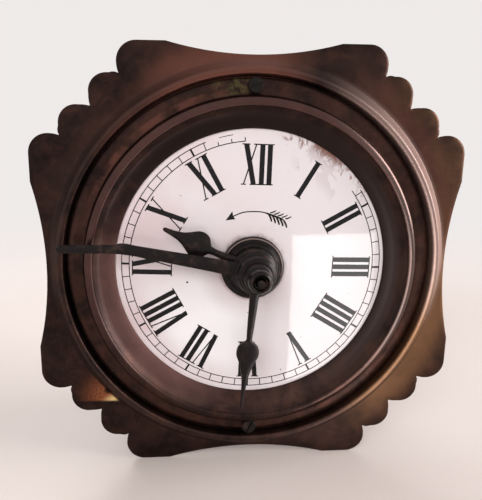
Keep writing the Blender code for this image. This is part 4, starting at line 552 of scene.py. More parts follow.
class Form:
    """Points and faces of one piece, gathered from several shapes."""

    def __init__(self):
        self.points = []
        self.faces = []

    def loft(self, rows, closed=False, capped=False):
        """A skin over rows of points that are loops; points of a row in one place become one."""
        numbered = []
        for row in rows:
            first, places = len(self.points), {}
            numbered.append([places.setdefault(tuple(point), first + len(places)) for point in row])
            self.points += places
        pairs = list(zip(numbered, numbered[1:]))
        if closed:
            pairs.append((numbered[-1], numbered[0]))
        for lower, upper in pairs:
            for corners in zip(lower, lower[1:] + lower[:1], upper[1:] + upper[:1], upper):
                face = tuple(dict.fromkeys(corners))
                if len(face) > 2:
                    self.faces.append(face)
        if capped:
            self.faces += [tuple(reversed(numbered[0])), tuple(numbered[-1])]
        return self

    def turn(self, profile, sides, centre=(0, 0), closed=True):
        """A solid or ring of revolution from (radius, out) points; radius 0 makes a pole."""
        rows = [[(x, y, out) for x, y in circle(radius, sides, centre)] for radius, out in profile]
        return self.loft(rows, closed)

    def slab(self, loop, low, high):
        """A flat plate between two heights from one outline."""
        return self.loft([[(x, y, out) for x, y in loop] for out in (low, high)], capped=True)

    def blade(self, rows, base, thickness, crown, line):
        """A hand's blade, crowned along its middle, from (along, half width) rows along a line."""
        across = ((-1, 0.0), (-1, 0.62), (-0.72, 0.86), (0, 1.0), (0.72, 0.86), (1, 0.62), (1, 0.0))
        full_crown = 0.6
        loops = []
        for along, half in rows:
            crest = thickness + crown * min(1.0, half / full_crown)
            loops.append([(*line(along, side * half), base + crest * up) for side, up in across])
        return self.loft(loops, capped=True)

    def plate(self, outline, holes, low, high):
        """A flat sheet between two heights with holes in it."""
        sheet = bmesh.new()
        for loop in (outline, *holes):
            corners = [sheet.verts.new((x, y, low)) for x, y in loop]
            for pair in zip(corners, corners[1:] + corners[:1]):
                sheet.edges.new(pair)
        bmesh.ops.triangle_fill(sheet, use_beauty=True, edges=sheet.edges[:], normal=(0, 0, 1))
        raised = bmesh.ops.extrude_face_region(sheet, geom=sheet.faces[:], use_keep_orig=True)["geom"]
        corners = [item for item in raised if isinstance(item, bmesh.types.BMVert)]
        bmesh.ops.translate(sheet, verts=corners, vec=(0, 0, high - low))
        sheet.verts.index_update()
        first = len(self.points)
        self.points += [tuple(corner.co) for corner in sheet.verts]
        self.faces += [tuple(first + corner.index for corner in face.verts) for face in sheet.faces]
        sheet.free()
        return self


def face_point(point):
    x, y, out = point
    return (FACE.x + x * MM, FACE.y - out * MM, FACE.z + y * MM)


def world_point(point):
    return tuple(value * MM for value in point)


def fresh(name, data):
    """A new object in the scene, in place of an older one of its name."""
    old = bpy.data.objects.get(name)
    if old:
        bpy.data.objects.remove(old)
    made = bpy.data.objects.new(name, data)
    bpy.context.scene.collection.objects.link(made)
    return made


def shape(name, form, material, sharp=35.0, place=face_point):
    """Makes one object from a form."""
    mesh = bpy.data.meshes.new(name)
    mesh.from_pydata([place(point) for point in form.points], [], form.faces)
    skin = bmesh.new()
    skin.from_mesh(mesh)
    bmesh.ops.recalc_face_normals(skin, faces=skin.faces)
    skin.to_mesh(mesh)
    skin.free()
    mesh.shade_smooth()
    mesh.set_sharp_from_angle(angle=sharp * DEGREE)
    mesh.materials.append(bpy.data.materials[material])
    return fresh(name, mesh)


def piece(name, form, material, node, sharp=35.0, bevel=0.0, body="clock_case", place=face_point):
    """Makes one visible piece, hangs it on its body and has it stand for a node, if one is given."""
    made = shape(name, form, material, sharp, place)
    if bevel:
        edge = made.modifiers.new("edge", "BEVEL")
        edge.width = bevel * MM
        edge.segments = 2
        edge.limit_method = "ANGLE"
        edge.angle_limit = 40 * DEGREE
        edge.harden_normals = True
    if node:
        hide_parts(node)
    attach(made, body)


# The front

CENTRE_BORE = 2.6
HAND_THICKNESS = 0.8
LETTERS = ("XII", "I", "II", "III", "IIII", "V", "VI", "VII", "VIII", "IX", "X", "XI")

# A hand's blade as rows of (share of its reach, share of its half width)
HOUR_ROWS = ((0.15, 0.42), (0.36, 0.27), (0.45, 0.25), (0.49, 0.31), (0.512, 0.50), (0.54, 0.78), (0.575, 0.94),
             (0.62, 1.00), (0.67, 0.92), (0.72, 0.70), (0.77, 0.48), (0.83, 0.31), (0.91, 0.20), (0.975, 0.15),
             (0.993, 0.10), (1.00, 0.05))
MINUTE_ROWS = ((0.07, 1.00), (0.35, 0.87), (0.56, 0.75), (0.63, 0.73), (0.665, 0.77), (0.70, 0.72),
               (0.735, 0.60), (0.85, 0.58), (0.96, 0.55), (0.985, 0.48), (0.996, 0.32), (1.00, 0.15))
ALARM_ROWS = ((0.09, 0.44), (0.25, 0.36), (0.40, 0.29), (0.468, 0.25), (0.482, 0.32), (0.50, 0.62),
              (0.52, 0.86), (0.55, 1.00), (0.595, 0.98), (0.64, 0.74), (0.70, 0.48), (0.79, 0.25),
              (0.90, 0.16), (1.00, 0.07))


def frame_outline(half, waist):
    """The scalloped outline: hollow sides, an ear at each end of a side and two lobes at each corner."""
    ear_side, ear_corner = half - 20.7, 4.6
    ear_start = ear_side - ear_corner - 6.6
    lobe_top = half - 7.1
    lobe_side, lobe_corner = lobe_top - 7.1, 4.2
    rise = half - waist
    hollow = (ear_start**2 + rise**2) / (2 * rise)
    points = []
    for step in range(1, 13):
        x = ear_start * step / 12
        points.append((x, waist + hollow - math.sqrt(hollow**2 - x**2)))
    ear = (ear_side - ear_corner, half - ear_corner)
    points += bowed(points[-1], (ear[0], half), 0.0, 4)[1:-1]
    points += arc(ear, ear_corner, TURN / 4, -6 * DEGREE, 12)
    points += bowed(points[-1], (ear_side - 0.45, lobe_top - 0.1), 0.08, 4)[1:]
    lobe = (lobe_side - lobe_corner, lobe_top - lobe_corner)
    points += bowed(points[-1], (lobe[0] - 0.6, lobe_top), 0.25, 3)[1:]
    points += arc(lobe, lobe_corner, TURN / 4, -8 * DEGREE, 12)
    corner = (lobe_side - 0.3, lobe_side - 0.3)
    points += bowed(points[-1], corner, 0.1, 3)[1:-1]
    quarter = [(0, waist), *points, corner, *[(y, x) for x, y in reversed(points)]]
    return [point for side in range(4) for point in turned_about(quarter, -TURN * side / 4)]


def inward(outline, distance):
    """The outline moved inwards along its own normals."""
    count = len(outline)
    shifted = []
    for index, point in enumerate(outline):
        along = (Vector(outline[(index + 1) % count]) - Vector(outline[index - 1])).normalized()
        middle = Vector(point)
        inside = Vector((along.y, -along.x))
        if inside.dot(middle) > 0:
            inside = -inside
        shifted.append(tuple(middle + inside * distance))
    return shifted


def stamped_frame(sizes):
    """The stamped sheet: rolled edge, flat, raised rim and opening, with the hollow of the rim behind."""
    half = node_half("front_frame")
    height = node_depth("front_frame")[1]
    rim_outer, rim_inner = half - 3.6, half - 7.5
    roll, sheet = sizes.edge_roll / MM, sizes.sheet / MM
    outline = frame_outline(half, half - 2.7)
    bearings = [math.atan2(y, x) for x, y in outline]

    def ring(radius, out):
        return [(*polar(radius, bearing), out) for bearing in bearings]

    def edge(distance, out):
        return [(x, y, out) for x, y in inward(outline, distance)]

    rows = [edge(0.0, -roll - 0.28), edge(0.06, -roll - 0.1), edge(0.22, -roll), edge(0.75, -roll * 0.25)]
    for share in (0.3, 0.65, 1.0):
        rows.append([(x + (foot[0] - x) * share, y + (foot[1] - y) * share, out * (1 - share))
                     for (x, y, out), foot in zip(rows[3], ring(rim_outer, 0.0))])
    rim = ((1.0, 0.0), (0.90, 0.11), (0.78, 0.30), (0.66, 0.52), (0.55, 0.78), (0.45, 0.95), (0.36, 1.0),
           (0.26, 0.99), (0.16, 0.93), (0.08, 0.82), (0.02, 0.62), (0.0, 0.4), (0.0, 0.05))
    for across, up in smooth_table(rim, 3):
        rows.append(ring(rim_inner + max(across, 0) * (rim_outer - rim_inner), min(up, 1) * height))
    hole = node_half("dial") + 0.6
    rows += [ring(rim_inner - 0.1, 0.0), ring(hole, 0.0), ring(hole, -sheet), ring(rim_inner + sheet, -sheet)]
    for share in (0.25, 0.7):
        radius = rim_inner + sheet + share * (rim_outer - rim_inner - sheet)
        rows.append(ring(radius, height * (0.85 - share) - sheet))
    return Form().loft([*rows, ring(rim_outer, -sheet), edge(0.2, -sheet)], closed=True)


def bezel_profile():
    """(radius, out) rows of the ring: lip, hollow wall, bead, groove with a low step, flange and back."""
    edge, top = node_half("bezel_ring"), node_depth("bezel_ring")[1]
    bead, bead_radius = edge - 5.45, 1.25
    foot = bead + bead_radius
    wall = ((-11.5, 0.80), (-11.45, 1.35), (-11.0, 1.62), (-9.6, 2.15), (-8.2, 2.8), (-7.2, 3.45),
            (-6.75, 3.95), (-6.55, 4.1))
    groove = ((0.02, 1.9), (0.25, 1.45), (0.7, 1.32), (1.3, 1.22), (2.4, 1.17))
    return [*moved(wall, edge), *arc((bead, top - bead_radius), bead_radius, 150 * DEGREE, 0, 14),
            *moved(groove, foot), (edge - 0.3, 1.15), (edge, 0.95), (edge, 0.3), (foot - 0.7, 0.3),
            (foot - 0.7, 2.6), (bead - 0.9, 2.6), (edge - 10.1, 0.80)]


def screw_form(sizes, radius, top, base, angle, centre, shank, end):
    """A slotted screw: a shank and a head, which is a disc with two half moons on it."""
    floor = top - sizes.slot_depth / MM
    profile = [(0, floor), (radius, floor), (radius, base), (shank, base), (shank, end), (0, end)]
    form = Form().turn(profile, 48, centre, closed=False)
    start = math.asin(sizes.slot_width / MM / 2 / radius)
    for side in (0, TURN / 2):
        moon = turned_about(arc((0, 0), radius, start, TURN / 2 - start, 22), angle + side)
        form.slab(moved(moon, *centre), floor - 0.02, top)
    return form


def dial_height(radius):
    """Height of the enamel's dome above the frame's face."""
    return node_depth("dial")[1] - 0.7 * (radius / node_half("dial")) ** 2


def enamel_form():
    """The domed disc with its rounded brink and its bore."""
    edge = node_half("dial")
    rim, thickness = edge - 0.375, 0.75
    brink = dial_height(rim)
    radii = [CENTRE_BORE + (rim - CENTRE_BORE) * step / 16 for step in range(17)]
    profile = [(radius, dial_height(radius)) for radius in radii]
    profile += [(edge - 0.08, brink - 0.12), (edge, brink - 0.36), (edge - 0.05, brink - thickness),
                (CENTRE_BORE, dial_height(0) - thickness)]
    return Form().turn(profile, 160)


class Print(Form):
    """The fired ink of the dial, as thin solids that follow the dome."""

    def __init__(self, sizes):
        super().__init__()
        self.sizes = sizes
        self.bold, self.fine = sizes.stroke / MM, sizes.hairline / MM

    def film(self, strip, turn):
        """A thin solid on the enamel, from pairs of left and right points."""
        sizes = self.sizes
        low, high = -0.05, sizes.ink / MM
        rows = []
        for pair in strip:
            spots = turned_about(turned_about(pair, turn), -sizes.print_turn)
            left, right = [(x, y, dial_height(math.hypot(x, y)))
                           for x, y in moved(spots, sizes.print_right / MM, sizes.print_up / MM)]
            rows.append([(x, y, height + out)
                         for (x, y, height), out in ((left, low), (left, high), (right, high), (right, low))])
        self.loft(rows, capped=True)

    def stroke(self, path, widths, turn=0.0):
        """A stroke along a path with a width at each of its points."""
        strip = []
        for index, point in enumerate(path):
            before, after = path[max(index - 1, 0)], path[min(index + 1, len(path) - 1)]
            along = (Vector(after) - Vector(before)).normalized()
            side = Vector((-along.y, along.x)) * widths[index] / 2
            strip.append((Vector(point) + side, Vector(point) - side))
        self.film(strip, turn)

    def line(self, start, end, width, turn=0.0):
        self.stroke(bowed(start, end, 0.0, 2), [width] * 3, turn)

    def slanted(self, top, foot, high, low, width, turn):
        """A stroke whose ends lie level, from one x at the top to another at the foot."""
        path = bowed((top, high), (foot, low), 0.0, 4)
        self.film([((x + width / 2, y), (x - width / 2, y)) for x, y in path], turn)

    def ring(self, radius, start, end, width):
        """Part of a circle between two angles in degrees, clockwise from twelve."""
        steps = max(3, round((end - start) / 3))
        path = arc((0, 0), radius, clock_angle(start * DEGREE), clock_angle(end * DEGREE), steps)
        self.stroke(path, [width] * len(path))

    def serif(self, left, right, height, turn):
        reach = 0.30 * self.bold
        self.line((left - reach, height), (right + reach, height), self.fine * 1.1, turn)

    def numeral(self, letters, hour):
        """A Roman numeral that stands on a circle with its feet towards the middle."""
        turn = -TURN * hour / 12
        high, low = self.sizes.numeral_top / MM, self.sizes.numeral_foot / MM
        bold, fine = self.bold, self.fine
        widths = {"I": bold, "V": 2.55 * bold, "X": 2.75 * bold}
        gap = 0.52 * bold
        left = -(sum(widths[letter] for letter in letters) + gap * (len(letters) - 1)) / 2
        for letter in letters:
            right = left + widths[letter]
            middle = (left + right) / 2
            if letter == "I":
                self.slanted(middle, middle, high, low, bold, turn)
                serifs = ((left, right, high), (left, right, low))
            elif letter == "V":
                self.slanted(left + bold / 2, middle + bold * 0.1, high, low, bold * 0.98, turn)
                self.slanted(right - fine, middle + bold * 0.25, high, low + 0.2, fine * 1.2, turn)
                serifs = ((left, left + bold, high), (right - fine * 2, right, high))
            else:
                self.slanted(left + bold * 0.55, right - bold * 0.55, high, low, bold * 1.02, turn)
                self.slanted(right - fine, left + fine, high, low, fine * 1.2, turn)
                serifs = ((left, left + bold, high), (right - bold, right, low),
                          (right - fine * 2, right, high), (left, left + fine * 2, low))
            for serif in serifs:
                self.serif(*serif, turn)
            left = right + gap

    def track(self):
        """The minute track, which is worn away between twelve and the second hour."""
        outer, inner = self.sizes.track_outer / MM, self.sizes.track_inner / MM
        fine = self.fine * 0.85
        self.ring(outer, 53, 337, fine)
        self.ring(outer, 343, 349, fine * 0.7)
        self.ring(inner, 51, 354, fine)
        for minute in range(9, 60):
            bold = minute % 5 == 0
            past = 0.12 if bold else 0
            top = inner + 0.9 if minute > 56 else outer + past
            self.line((0, inner - past), (0, top), 0.48 if bold else fine, -TURN * minute / 60)

    def arrow(self):
        """The curved feathered arrow over the middle, for the way the alarm is set."""
        fine = self.fine
        tip, notch = (-7.17, 11.11), (-5.4, 12.14)
        shaft = (notch, (-3.03, 13.15), (-0.62, 13.4), (1.5, 13.35), (2.89, 13.0), (5.06, 12.29), (6.78, 11.64))
        shaft = smooth_table(shaft, 3)
        self.stroke(shaft, [fine * (1.1 if x < 2.8 else 1.8) for x, y in shaft])
        tip, notch = Vector(tip), Vector(notch)
        along = (notch - tip).normalized()
        side = Vector((-along.y, along.x))
        for end in (notch + side * 1.15 + along * 0.45, notch - side * 0.90 + along * 0.2):
            self.film([(tip, tip + along * 0.04), (end, notch + along * 0.05)], 0.0)
        below = [fine * share for share in (1.2, 1.7, 1.9, 1.8, 1.4)]
        above = [fine * share for share in (1.1, 1.3, 1.3, 1.1, 0.8)]
        for feather in range(5):
            x, y = 3.04 + 0.94 * feather, 13.01 - 0.35 * feather
            self.stroke(bowed((x, y), (x + 1.0, y - 2.0), 0.16, 4), below)
            self.stroke(bowed((x + 0.52, y + 0.2), (x + 1.98, y + 0.78), -0.12, 4), above)

    def dots(self):
        for x, y, size in ((-16.0, -4.4, 0.42), (-22.5, -25.8, 0.2), (8.5, -27.5, 0.25), (13.2, -18.6, 0.2)):
            self.line((x - size / 2, y), (x + size / 2, y), size)


def hand_form(node, rows, reach, half_width, direction, radius, bore, crown, bend=None):
    """A crowned blade on a turned hub with a step and a groove; a bend is (share of the reach, angle)."""
    base, top = node_depth(node)
    rise = (top - base) / 3
    hub = [(bore, base), (radius, base), (radius, top - rise), (radius - 0.35, top - rise * 0.55),
           (radius - 0.55, top - rise * 0.45), (radius - 0.75, top), (bore, top)]
    form = Form().turn(softened(hub, 0.14), 72)

    def line(along, across):
        if bend:
            past = max(0.0, along - reach * bend[0])
            across += past * math.tan(bend[1]) * min(1.0, past / 3)
        return turned_about([(along, across)], clock_angle(direction * DEGREE))[0]

    finer = [(along * reach, max(half, 0.05) * half_width) for along, half in smooth_table(rows, 5)]
    low = base + (top - base - HAND_THICKNESS) / 3
    return form.blade(finer, low, HAND_THICKNESS - crown * 0.5, crown * 0.5, line)


def knob_form():
    """The turned knob of the alarm hand: a ring, a waist and a cupped end."""
    base, top = node_depth("alarm_knob")
    ring, bore = node_half("alarm_knob"), 1.15
    dome, middle = ring - 0.55, base + 1.7
    foot = ((-0.1, 0), (0, 0.2), (0, 0.55), (-0.28, 0.8), (-0.28, 0.95), (-0.05, 1.2), (-0.15, 1.7))
    waist = ((-0.25, 0.25), (-0.05, 0.8), (0, 1.5))
    lip = ((-0.12, -0.8), (-0.42, -0.25), (-0.72, 0))
    cup = ((0.8, -0.05), (0.6, -0.25), (0.35, -0.85), (0, -0.9))
    profile = [(bore, base), *moved(foot, ring, base), *moved(waist, dome, middle), *moved(lip, dome, top),
               *moved(cup, bore, top)]
    return Form().turn(softened(profile, 0.12, 2), 72)


def boss_form():
    """The stepped disc round the centre of the dial."""
    base, top = node_depth("centre_boss")
    rim = node_half("centre_boss")
    step = (top - base) / 4
    profile = [(CENTRE_BORE, base), (rim - 0.1, base), (rim, base + 0.12)]
    for inset, down in ((0, 1.9), (0.15, 1.55), (0.55, 1.35), (1.15, 1.5), (1.35, 1.1), (1.6, 0.2), (1.9, 0)):
        profile.append((rim - inset, top - step * down))
    return Form().turn(softened([*profile, (CENTRE_BORE, top)], 0.1, 2), 96)


# The case behind the frame

def drum_profile(sheet):
    """(radius, out) rows of the drum with its flange and its rounded back edge."""
    back, front = node_depth("drum_case")
    flange, radius = node_half("drum_case"), node_half("back_cover")
    inner = radius - sheet
    return [(inner, front), (flange, front), (flange, front - sheet), (radius + 0.5, front - sheet),
            (radius, front - sheet - 0.5), (radius, back + 0.15), (radius - 0.15, back), (inner, back)]


def cover_form(sheet):
    """The back cover: a sheet with its holes and slots, a rounded rim and a skirt into the drum."""
    back, front = node_depth("back_cover")
    rim = node_half("back_cover")
    flat, face = rim - 1.2, back + 0.8
    arbors = ("time_winding_turn", "alarm_winding_turn", "set_turn")
    holes = [circle(2.2, 40, joint_place(joint)) for joint in arbors]
    holes += [circle(1.2, 24, node_place(f"back_cover_screw_{number}")) for number in (1, 2, 3)]
    holes += [circle(1.3, 24, place) for place in circle(8.5, 6, node_place("bell"))]
    holes.append(slot_outline("regulator_swing", "regulator_lever", 20 * DEGREE))
    holes.append(slot_outline("stop_swing", "alarm_stop_lever", 12 * DEGREE))
    form = Form().plate(circle(flat, 160), holes, back, face)
    form.turn([(flat, face), (flat, back), (rim - 0.5, back), (rim - 0.15, back + 0.12), (rim, back + 0.4),
               (rim - 0.02, face)], 160)
    skirt, seat = rim - sheet - 0.3, face - 0.02
    return form.turn([(skirt, seat), (skirt, front), (skirt - sheet, front), (skirt - sheet, seat)], 120)


def pin_place(node):
    """Where a lever's pin comes through the cover: the middle of its rearmost points."""
    spots = [vertex.co for vertex in NODES[node].data.vertices]
    rear = max(spot.y for spot in spots)
    ends = [spot for spot in spots if spot.y > rear - 0.05 * MM]
    return from_middle([sum(spot[axis] for spot in ends) / len(ends) for axis in range(3)])


def slot_outline(joint, node, swing):
    """The curved slot that a lever's pin swings in, with round ends."""
    centre, pin = joint_place(joint), pin_place(node)
    radius = math.dist(centre, pin)
    angle = math.atan2(pin[1] - centre[1], pin[0] - centre[0])
    half = 1.3
    reach = swing + 0.4 / radius
    first, last = angle - reach, angle + reach
    return [*arc(centre, radius + half, first, last, 12),
            *arc(polar(radius, last, centre), half, last + 10 * DEGREE, last + 170 * DEGREE, 6),
            *arc(centre, radius - half, last, first, 12),
            *arc(polar(radius, first, centre), half, first + 190 * DEGREE, first + 350 * DEGREE, 6)]


def foot_form(node):
    """A turned foot that stands on the floor and is saddled to the drum, in world places."""
    low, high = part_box(node)
    across, away = [(low[axis] + high[axis]) / 2 / MM for axis in (0, 1)]
    wide = (high[1] - low[1]) / 2 / MM
    neck = 1.7
    drum = node_half("back_cover") + 0.05
    top = high[2] / MM + 0.2
    rows = ((1.0, 0.90), (0.985, 1.0), (0.94, 1.0), (0.88, 0.95), (0.82, 0.72), (0.76, 0.4), (0.66, 0.2),
            (0.5, 0.1), (0.4, 0.25), (0.3, 0.5), (0.2, 0.66), (0.12, 0.70), (0.06, 0.62), (0.0, 0.42))
    profile = [(0, 0)]
    for down, share in smooth_table(rows, 3):
        profile.append((min(neck + (wide - neck) * share, wide), max(top * (1 - down), 0)))
    form = Form().turn([*profile, (0, top)], 48, (across, away), closed=False)
    saddled = []
    for x, y, z in form.points:
        ceiling = FACE.z / MM - math.sqrt(max(drum**2 - (x - FACE.x / MM) ** 2, 0))
        saddled.append((x, y, min(z, ceiling)))
    form.points = saddled
    return form


def key_form(node, joint):
    """A butterfly key: a turned hub and two wings."""
    back, front = node_depth(node)
    centre = joint_place(joint)
    tall, end = front - back, node_half(node)
    hub, bore, half = 2.6, 1.9, 0.8
    middle, high = front - tall * 0.6, front - tall * 0.15
    collar = ((-0.15, 0), (0, -0.2), (0, -1.2), (-0.3, -1.5), (-0.3, -1.9), (0, -2.2))
    profile = [(bore, front), *moved(collar, hub, front), (hub, middle), (hub * 0.8, back + 0.6),
               (hub * 0.6, back + 0.35), (0, back + 0.3), (0, back + tall / 3), (bore, back + tall / 3)]
    rows = ((bore, middle + tall * 0.16, middle - tall * 0.12), (bore + 1.5, high - 1.6, back + 1.8),
            (bore + 2.9, high - 0.4, back + 0.3), (end - 2.6, high, back), (end - 1.1, high - 0.5, back + 0.5),
            (end - 0.25, high - 1.7, back + 1.7), (end, high - 3.2, back + 3.2))
    rows = smooth_table(rows, 4)
    wings = Form()
    for side in (-1, 1):
        loop = [(side * x, upper) for x, upper, lower in rows]
        loop += [(side * x, max(lower, back)) for x, upper, lower in reversed(rows)]
        sides = [[(centre[0] + x, centre[1] + up, out) for x, out in loop] for up in (-half, half)]
        wings.loft(sides, capped=True)
    return Form().turn(profile, 48, centre), wings


def knurled_form():
    """The set knob: a fluted rim between two turned faces."""
    back, front = node_depth("set_knob")
    centre = joint_place("set_turn")
    radius, bore, face = node_half("set_knob"), 1.9, 0.5
    flutes, steps = 30, 6
    outline = []
    for index in range(flutes * steps):
        angle = TURN * index / (flutes * steps)
        outline.append(polar(radius - 0.02 - 0.16 * (1 - math.cos(flutes * angle)), angle, centre))
    form = Form().plate(outline, [circle(bore, 40, centre)], back + face, front - face)
    for low, high in ((back, back + face + 0.02), (front - face - 0.02, front)):
        form.turn([(bore, low), (radius - 0.7, low), (radius - 0.45, (low + high) / 2), (radius - 0.7, high),
                   (bore, high)], 72, centre)
    return form


# Operators

class CLOCK_OT_finishes(bpy.types.Operator):
    """Makes every finish of the clock from the colours"""
    bl_idname = "clock.finishes"
    bl_label = "Finishes"

    def execute(self, context):
        colours = context.scene.clock_colours
        frame_finish(colours)
        bezel_finish(colours)
        bronzed(colours, "bronzed_case", 0.35)
        enamel_finish(colours)
        ink_finish(colours)
        blackened_finish(colours, "blackened_hands", 0.75)
        blackened_finish(colours, "blackened_hubs", 1.0)
        boss_finish(colours)
        metal_finish("grey_steel", colours.steel, 0.45, 0.26, 0.35)
        metal_finish("spring_steel_blue", (0.10, 0.12, 0.19), 0.6, 0.22, 0.5)
        metal_finish("aged_brass", colours.brass, 0.38, 0.24, 0.6, (1, 1, 8))
        metal_finish("bell_bronze", colours.bell, 0.5, 0.2, 0.8)
        return {"FINISHED"}


class CLOCK_OT_frame(bpy.types.Operator):
    """Makes the stamped front frame with its rim"""
    bl_idname = "clock.frame"
    bl_label = "Front frame"

    def execute(self, context):
        form = stamped_frame(context.scene.clock_sizes)
        piece("frame_stamping", form, "bronzed_frame", "front_frame", 42)
        return {"FINISHED"}


class CLOCK_OT_bezel(bpy.types.Operator):
    """Makes the bezel ring and the two slotted screws that hold it"""
    bl_idname = "clock.bezel"
    bl_label = "Bezel ring and screws"

    def execute(self, context):
        sizes = context.scene.clock_sizes
        form = Form().turn(bezel_profile(), sizes.facets)
        piece("bezel_turning", form, "bronzed_ring", "bezel_ring", 50)
        for name, angle in (("top", 20), ("bottom", 60)):
            node = "bezel_screw_" + name
            base, top = node_depth(node)
            form = screw_form(sizes, 1.75, top, 1.3, angle * DEGREE, node_place(node), 1.1, base)
            piece(node + "_slotted", form, "blackened_hubs", node, 35, 0.1)
        return {"FINISHED"}


class CLOCK_OT_dial(bpy.types.Operator):
    """Makes the enamel dial, its printed numerals, track and arrow, and the boss in its middle"""
    bl_idname = "clock.dial"
    bl_label = "Dial"

    def execute(self, context):
        piece("dial_face", enamel_form(), "dial_enamel", "dial", 50)
        ink = Print(context.scene.clock_sizes)
        for hour, letters in enumerate(LETTERS):
            ink.numeral(letters, hour)
        ink.track()
        ink.arrow()
        ink.dots()
        piece("dial_print", ink, "dial_ink", None, 30)
        piece("boss_turning", boss_form(), "blackened_boss", "centre_boss", 40)
        return {"FINISHED"}


class CLOCK_OT_hands(bpy.types.Operator):
    """Makes the hour, minute and alarm hands and the knob of the alarm hand"""
    bl_idname = "clock.hands"
    bl_label = "Hands"

    def execute(self, context):
        crown = context.scene.clock_sizes.hand_crown / MM
        hands = (("hour", "hour_group", HOUR_ROWS, 23.8, 3.25, 295.5, 5.4, 2.9, None),
                 ("minute", "minute_group", MINUTE_ROWS, 46.0, 1.7, 281.2, 4.9, 2.2, (0.66, 10.4 * DEGREE)),
                 ("alarm", "alarm_setting_group", ALARM_ROWS, 33.5, 2.66, 185.3, 4.5, 1.15, None))
        for name, body, rows, reach, half_width, direction, radius, bore, bend in hands:
            node = name + "_hand"
            form = hand_form(node, rows, reach, half_width, direction, radius, bore, crown, bend)
            piece(name + "_blade", form, "blackened_hands", node, 40, body=body)
        piece("alarm_knob_turning", knob_form(), "blackened_hubs", "alarm_knob", 40,
              body="alarm_setting_group")
        return {"FINISHED"}


class CLOCK_OT_case(bpy.types.Operator):
    """Makes the drum, the back cover with its screws, and the feet"""
    bl_idname = "clock.case"
    bl_label = "Drum and cover"

    def execute(self, context):
        sizes = context.scene.clock_sizes
        sheet = sizes.sheet / MM
        form = Form().turn(drum_profile(sheet), sizes.facets)
        piece("drum_shell", form, "bronzed_case", "drum_case")
        piece("cover_plate", cover_form(sheet), "bronzed_case", "back_cover")
        for number in (1, 2, 3):
            node = f"back_cover_screw_{number}"
            right, up = node_place(node)
            back, front = node_depth(node)
            form = screw_form(sizes, 2.2, -back, 1.0 - back, 40 * number * DEGREE, (-right, up), 0.9, -front)
            form.points = [(-x, y, -out) for x, y, out in form.points]
            piece(node + "_slotted", form, "grey_steel", node, 35, 0.1)
        for node in ("rear_foot_left", "rear_foot_right"):
            piece(node + "_turning", foot_form(node), "bronzed_case", node, 40,
                  place=world_point)
        return {"FINISHED"}


class CLOCK_OT_controls(bpy.types.Operator):
    """Makes the two winding keys and the knob that sets the hands"""
    bl_idname = "clock.controls"
    bl_label = "Keys and knob"

    def execute(self, context):
        for name in ("time", "alarm"):
            body, node = name + "_winding_group", name + "_key"
            hub, wings = key_form(node, name + "_winding_turn")
            piece(node + "_hub", hub, "aged_brass", node, body=body)
            piece(node + "_wings", wings, "aged_brass", None, 35, 0.3, body)
        piece("set_knob_fluted", knurled_form(), "aged_brass", "set_knob", 30, body="setting_group")
        return {"FINISHED"}


class CLOCK_OT_movement(bpy.types.Operator):
    """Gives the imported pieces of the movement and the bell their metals"""
    bl_idname = "clock.movement"
    bl_label = "Movement"

    def execute(self, context):
        materials = bpy.data.materials
        metals = {"brass": "aged_brass", "steel": "grey_steel", "spring_steel": "spring_steel_blue",
                  "bell_metal": "bell_bronze", "blackened_steel": "blackened_hubs",
                  "bronzed_brass": "bronzed_case", "bronzed_bezel": "bronzed_ring", "enamel": "dial_enamel"}
        for name, node in NODES.items():
            for slot in node.material_slots:
                if name == "alarm_arbor":
                    slot.material = materials["blackened_hubs"]
                elif slot.material and slot.material.name in metals:
                    slot.material = materials[metals[slot.material.name]]
        return {"FINISHED"}


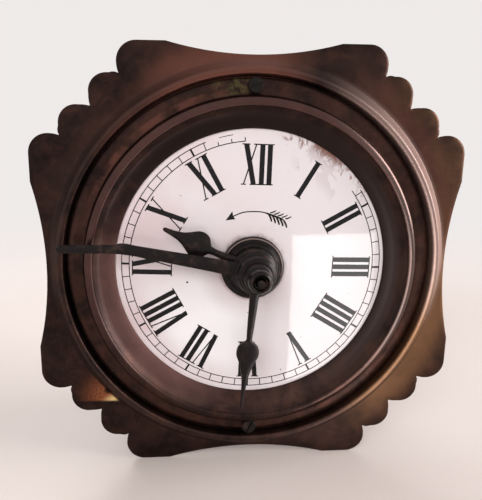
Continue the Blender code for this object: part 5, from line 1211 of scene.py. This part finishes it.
class CLOCK_OT_stage(bpy.types.Operator):
    """Makes the floor, the soft lights and the camera"""
    bl_idname = "clock.stage"
    bl_label = "Stage"

    def execute(self, context):
        scene = context.scene
        backdrop = (0.86, 0.825, 0.815)
        floor_finish(scene.clock_colours.floor, backdrop)
        floor_radius, floor_thickness = 4000, 20
        form = Form().slab(circle(floor_radius, 96), -floor_thickness, 0)
        shape("stage_floor", form, "stage_floor", place=world_point)
        scene.world = bpy.data.worlds.get("stage_world") or bpy.data.worlds.new("stage_world")
        wiring = Wiring(scene.world, "ShaderNodeOutputWorld")
        light = wiring.node("ShaderNodeBackground", {}, {"Color": (1.0, 0.965, 0.96), "Strength": 0.42})
        plain = wiring.node("ShaderNodeBackground", {}, {"Color": backdrop, "Strength": 1.0})
        share = wiring.background_rays()
        wiring.show(wiring.node("ShaderNodeMixShader", {}, {0: share, 1: light, 2: plain}))
        middle = (0, -0.02, 0.052)
        gloss_only = ["diffuse"]
        soft_light("window_light", (1.30, -0.16, 0.42), middle, 0.95, 0.70, 24.0)
        soft_light("front_light", (-0.35, -0.90, 0.55), middle, 0.60, 0.50, 7.0, ["glossy"])
        soft_light("back_light", (-0.2, 0.9, 0.7), middle, 0.80, 0.50, 6.0)
        soft_light("dial_card", (0.032, -0.054, 0.0275), (0.032, -0.019, 0.0275), 0.028, 0.053, 0.027,
                   gloss_only)
        soft_light("side_card", (0.60, 0.05, 0.05), (0.04, -0.02, 0.05), 0.90, 0.16, 1.0, gloss_only)
        data = bpy.data.cameras.new("photo_camera")
        data.lens = 41.766
        data.shift_x = 0.04
        data.shift_y = 0.0037
        data.clip_start = 0.005
        camera = fresh("photo_camera", data)
        camera.location = (-0.019235, -0.157164, 0.087420)
        camera.rotation_euler = Euler((77.162 * DEGREE, -0.516 * DEGREE, -4.735 * DEGREE))
        scene.camera = camera
        scene.view_settings.view_transform = "Standard"
        return {"FINISHED"}


def soft_light(name, place, target, wide, tall, power, hidden=()):
    """A soft lamp that the camera doesn't see, nor the kinds of rays that it is hidden from."""
    data = bpy.data.lights.new(name, "AREA")
    data.shape = "RECTANGLE"
    data.size = wide
    data.size_y = tall
    data.energy = power
    data.color = (1.0, 0.975, 0.965)
    light = fresh(name, data)
    light.location = place
    light.rotation_euler = (Vector(target) - Vector(place)).to_track_quat("-Z", "Y").to_euler()
    for ray in ("camera", *hidden):
        setattr(light, "visible_" + ray, False)


class CLOCK_PT_panel(bpy.types.Panel):
    """The clock's sizes, colours and pieces"""
    bl_idname = "CLOCK_PT_panel"
    bl_label = "Travel alarm clock"
    bl_space_type = "VIEW_3D"
    bl_region_type = "UI"
    bl_category = "Clock"

    def draw(self, context):
        scene = context.scene
        for group in (scene.clock_sizes, scene.clock_colours):
            box = self.layout.box()
            for name in group.bl_rna.properties.keys():
                if name not in ("rna_type", "name"):
                    box.prop(group, name)
        for operator in OPERATORS:
            self.layout.operator(operator.bl_idname)


OPERATORS = (CLOCK_OT_finishes, CLOCK_OT_frame, CLOCK_OT_bezel, CLOCK_OT_dial, CLOCK_OT_hands, CLOCK_OT_case,
             CLOCK_OT_controls, CLOCK_OT_movement, CLOCK_OT_stage)
CLASSES = (ClockSizes, ClockColours, *OPERATORS, CLOCK_PT_panel)


def register():
    for item in CLASSES:
        bpy.utils.register_class(item)
    bpy.types.Scene.clock_sizes = PointerProperty(type=ClockSizes)
    bpy.types.Scene.clock_colours = PointerProperty(type=ClockColours)


def unregister():
    del bpy.types.Scene.clock_colours
    del bpy.types.Scene.clock_sizes
    for item in reversed(CLASSES):
        bpy.utils.unregister_class(item)


def main():
    register()
    for name in ("finishes", "frame", "bezel", "dial", "hands", "case", "controls", "movement", "stage"):
        getattr(bpy.ops.clock, name)()


if __name__ == "__main__":
    main()
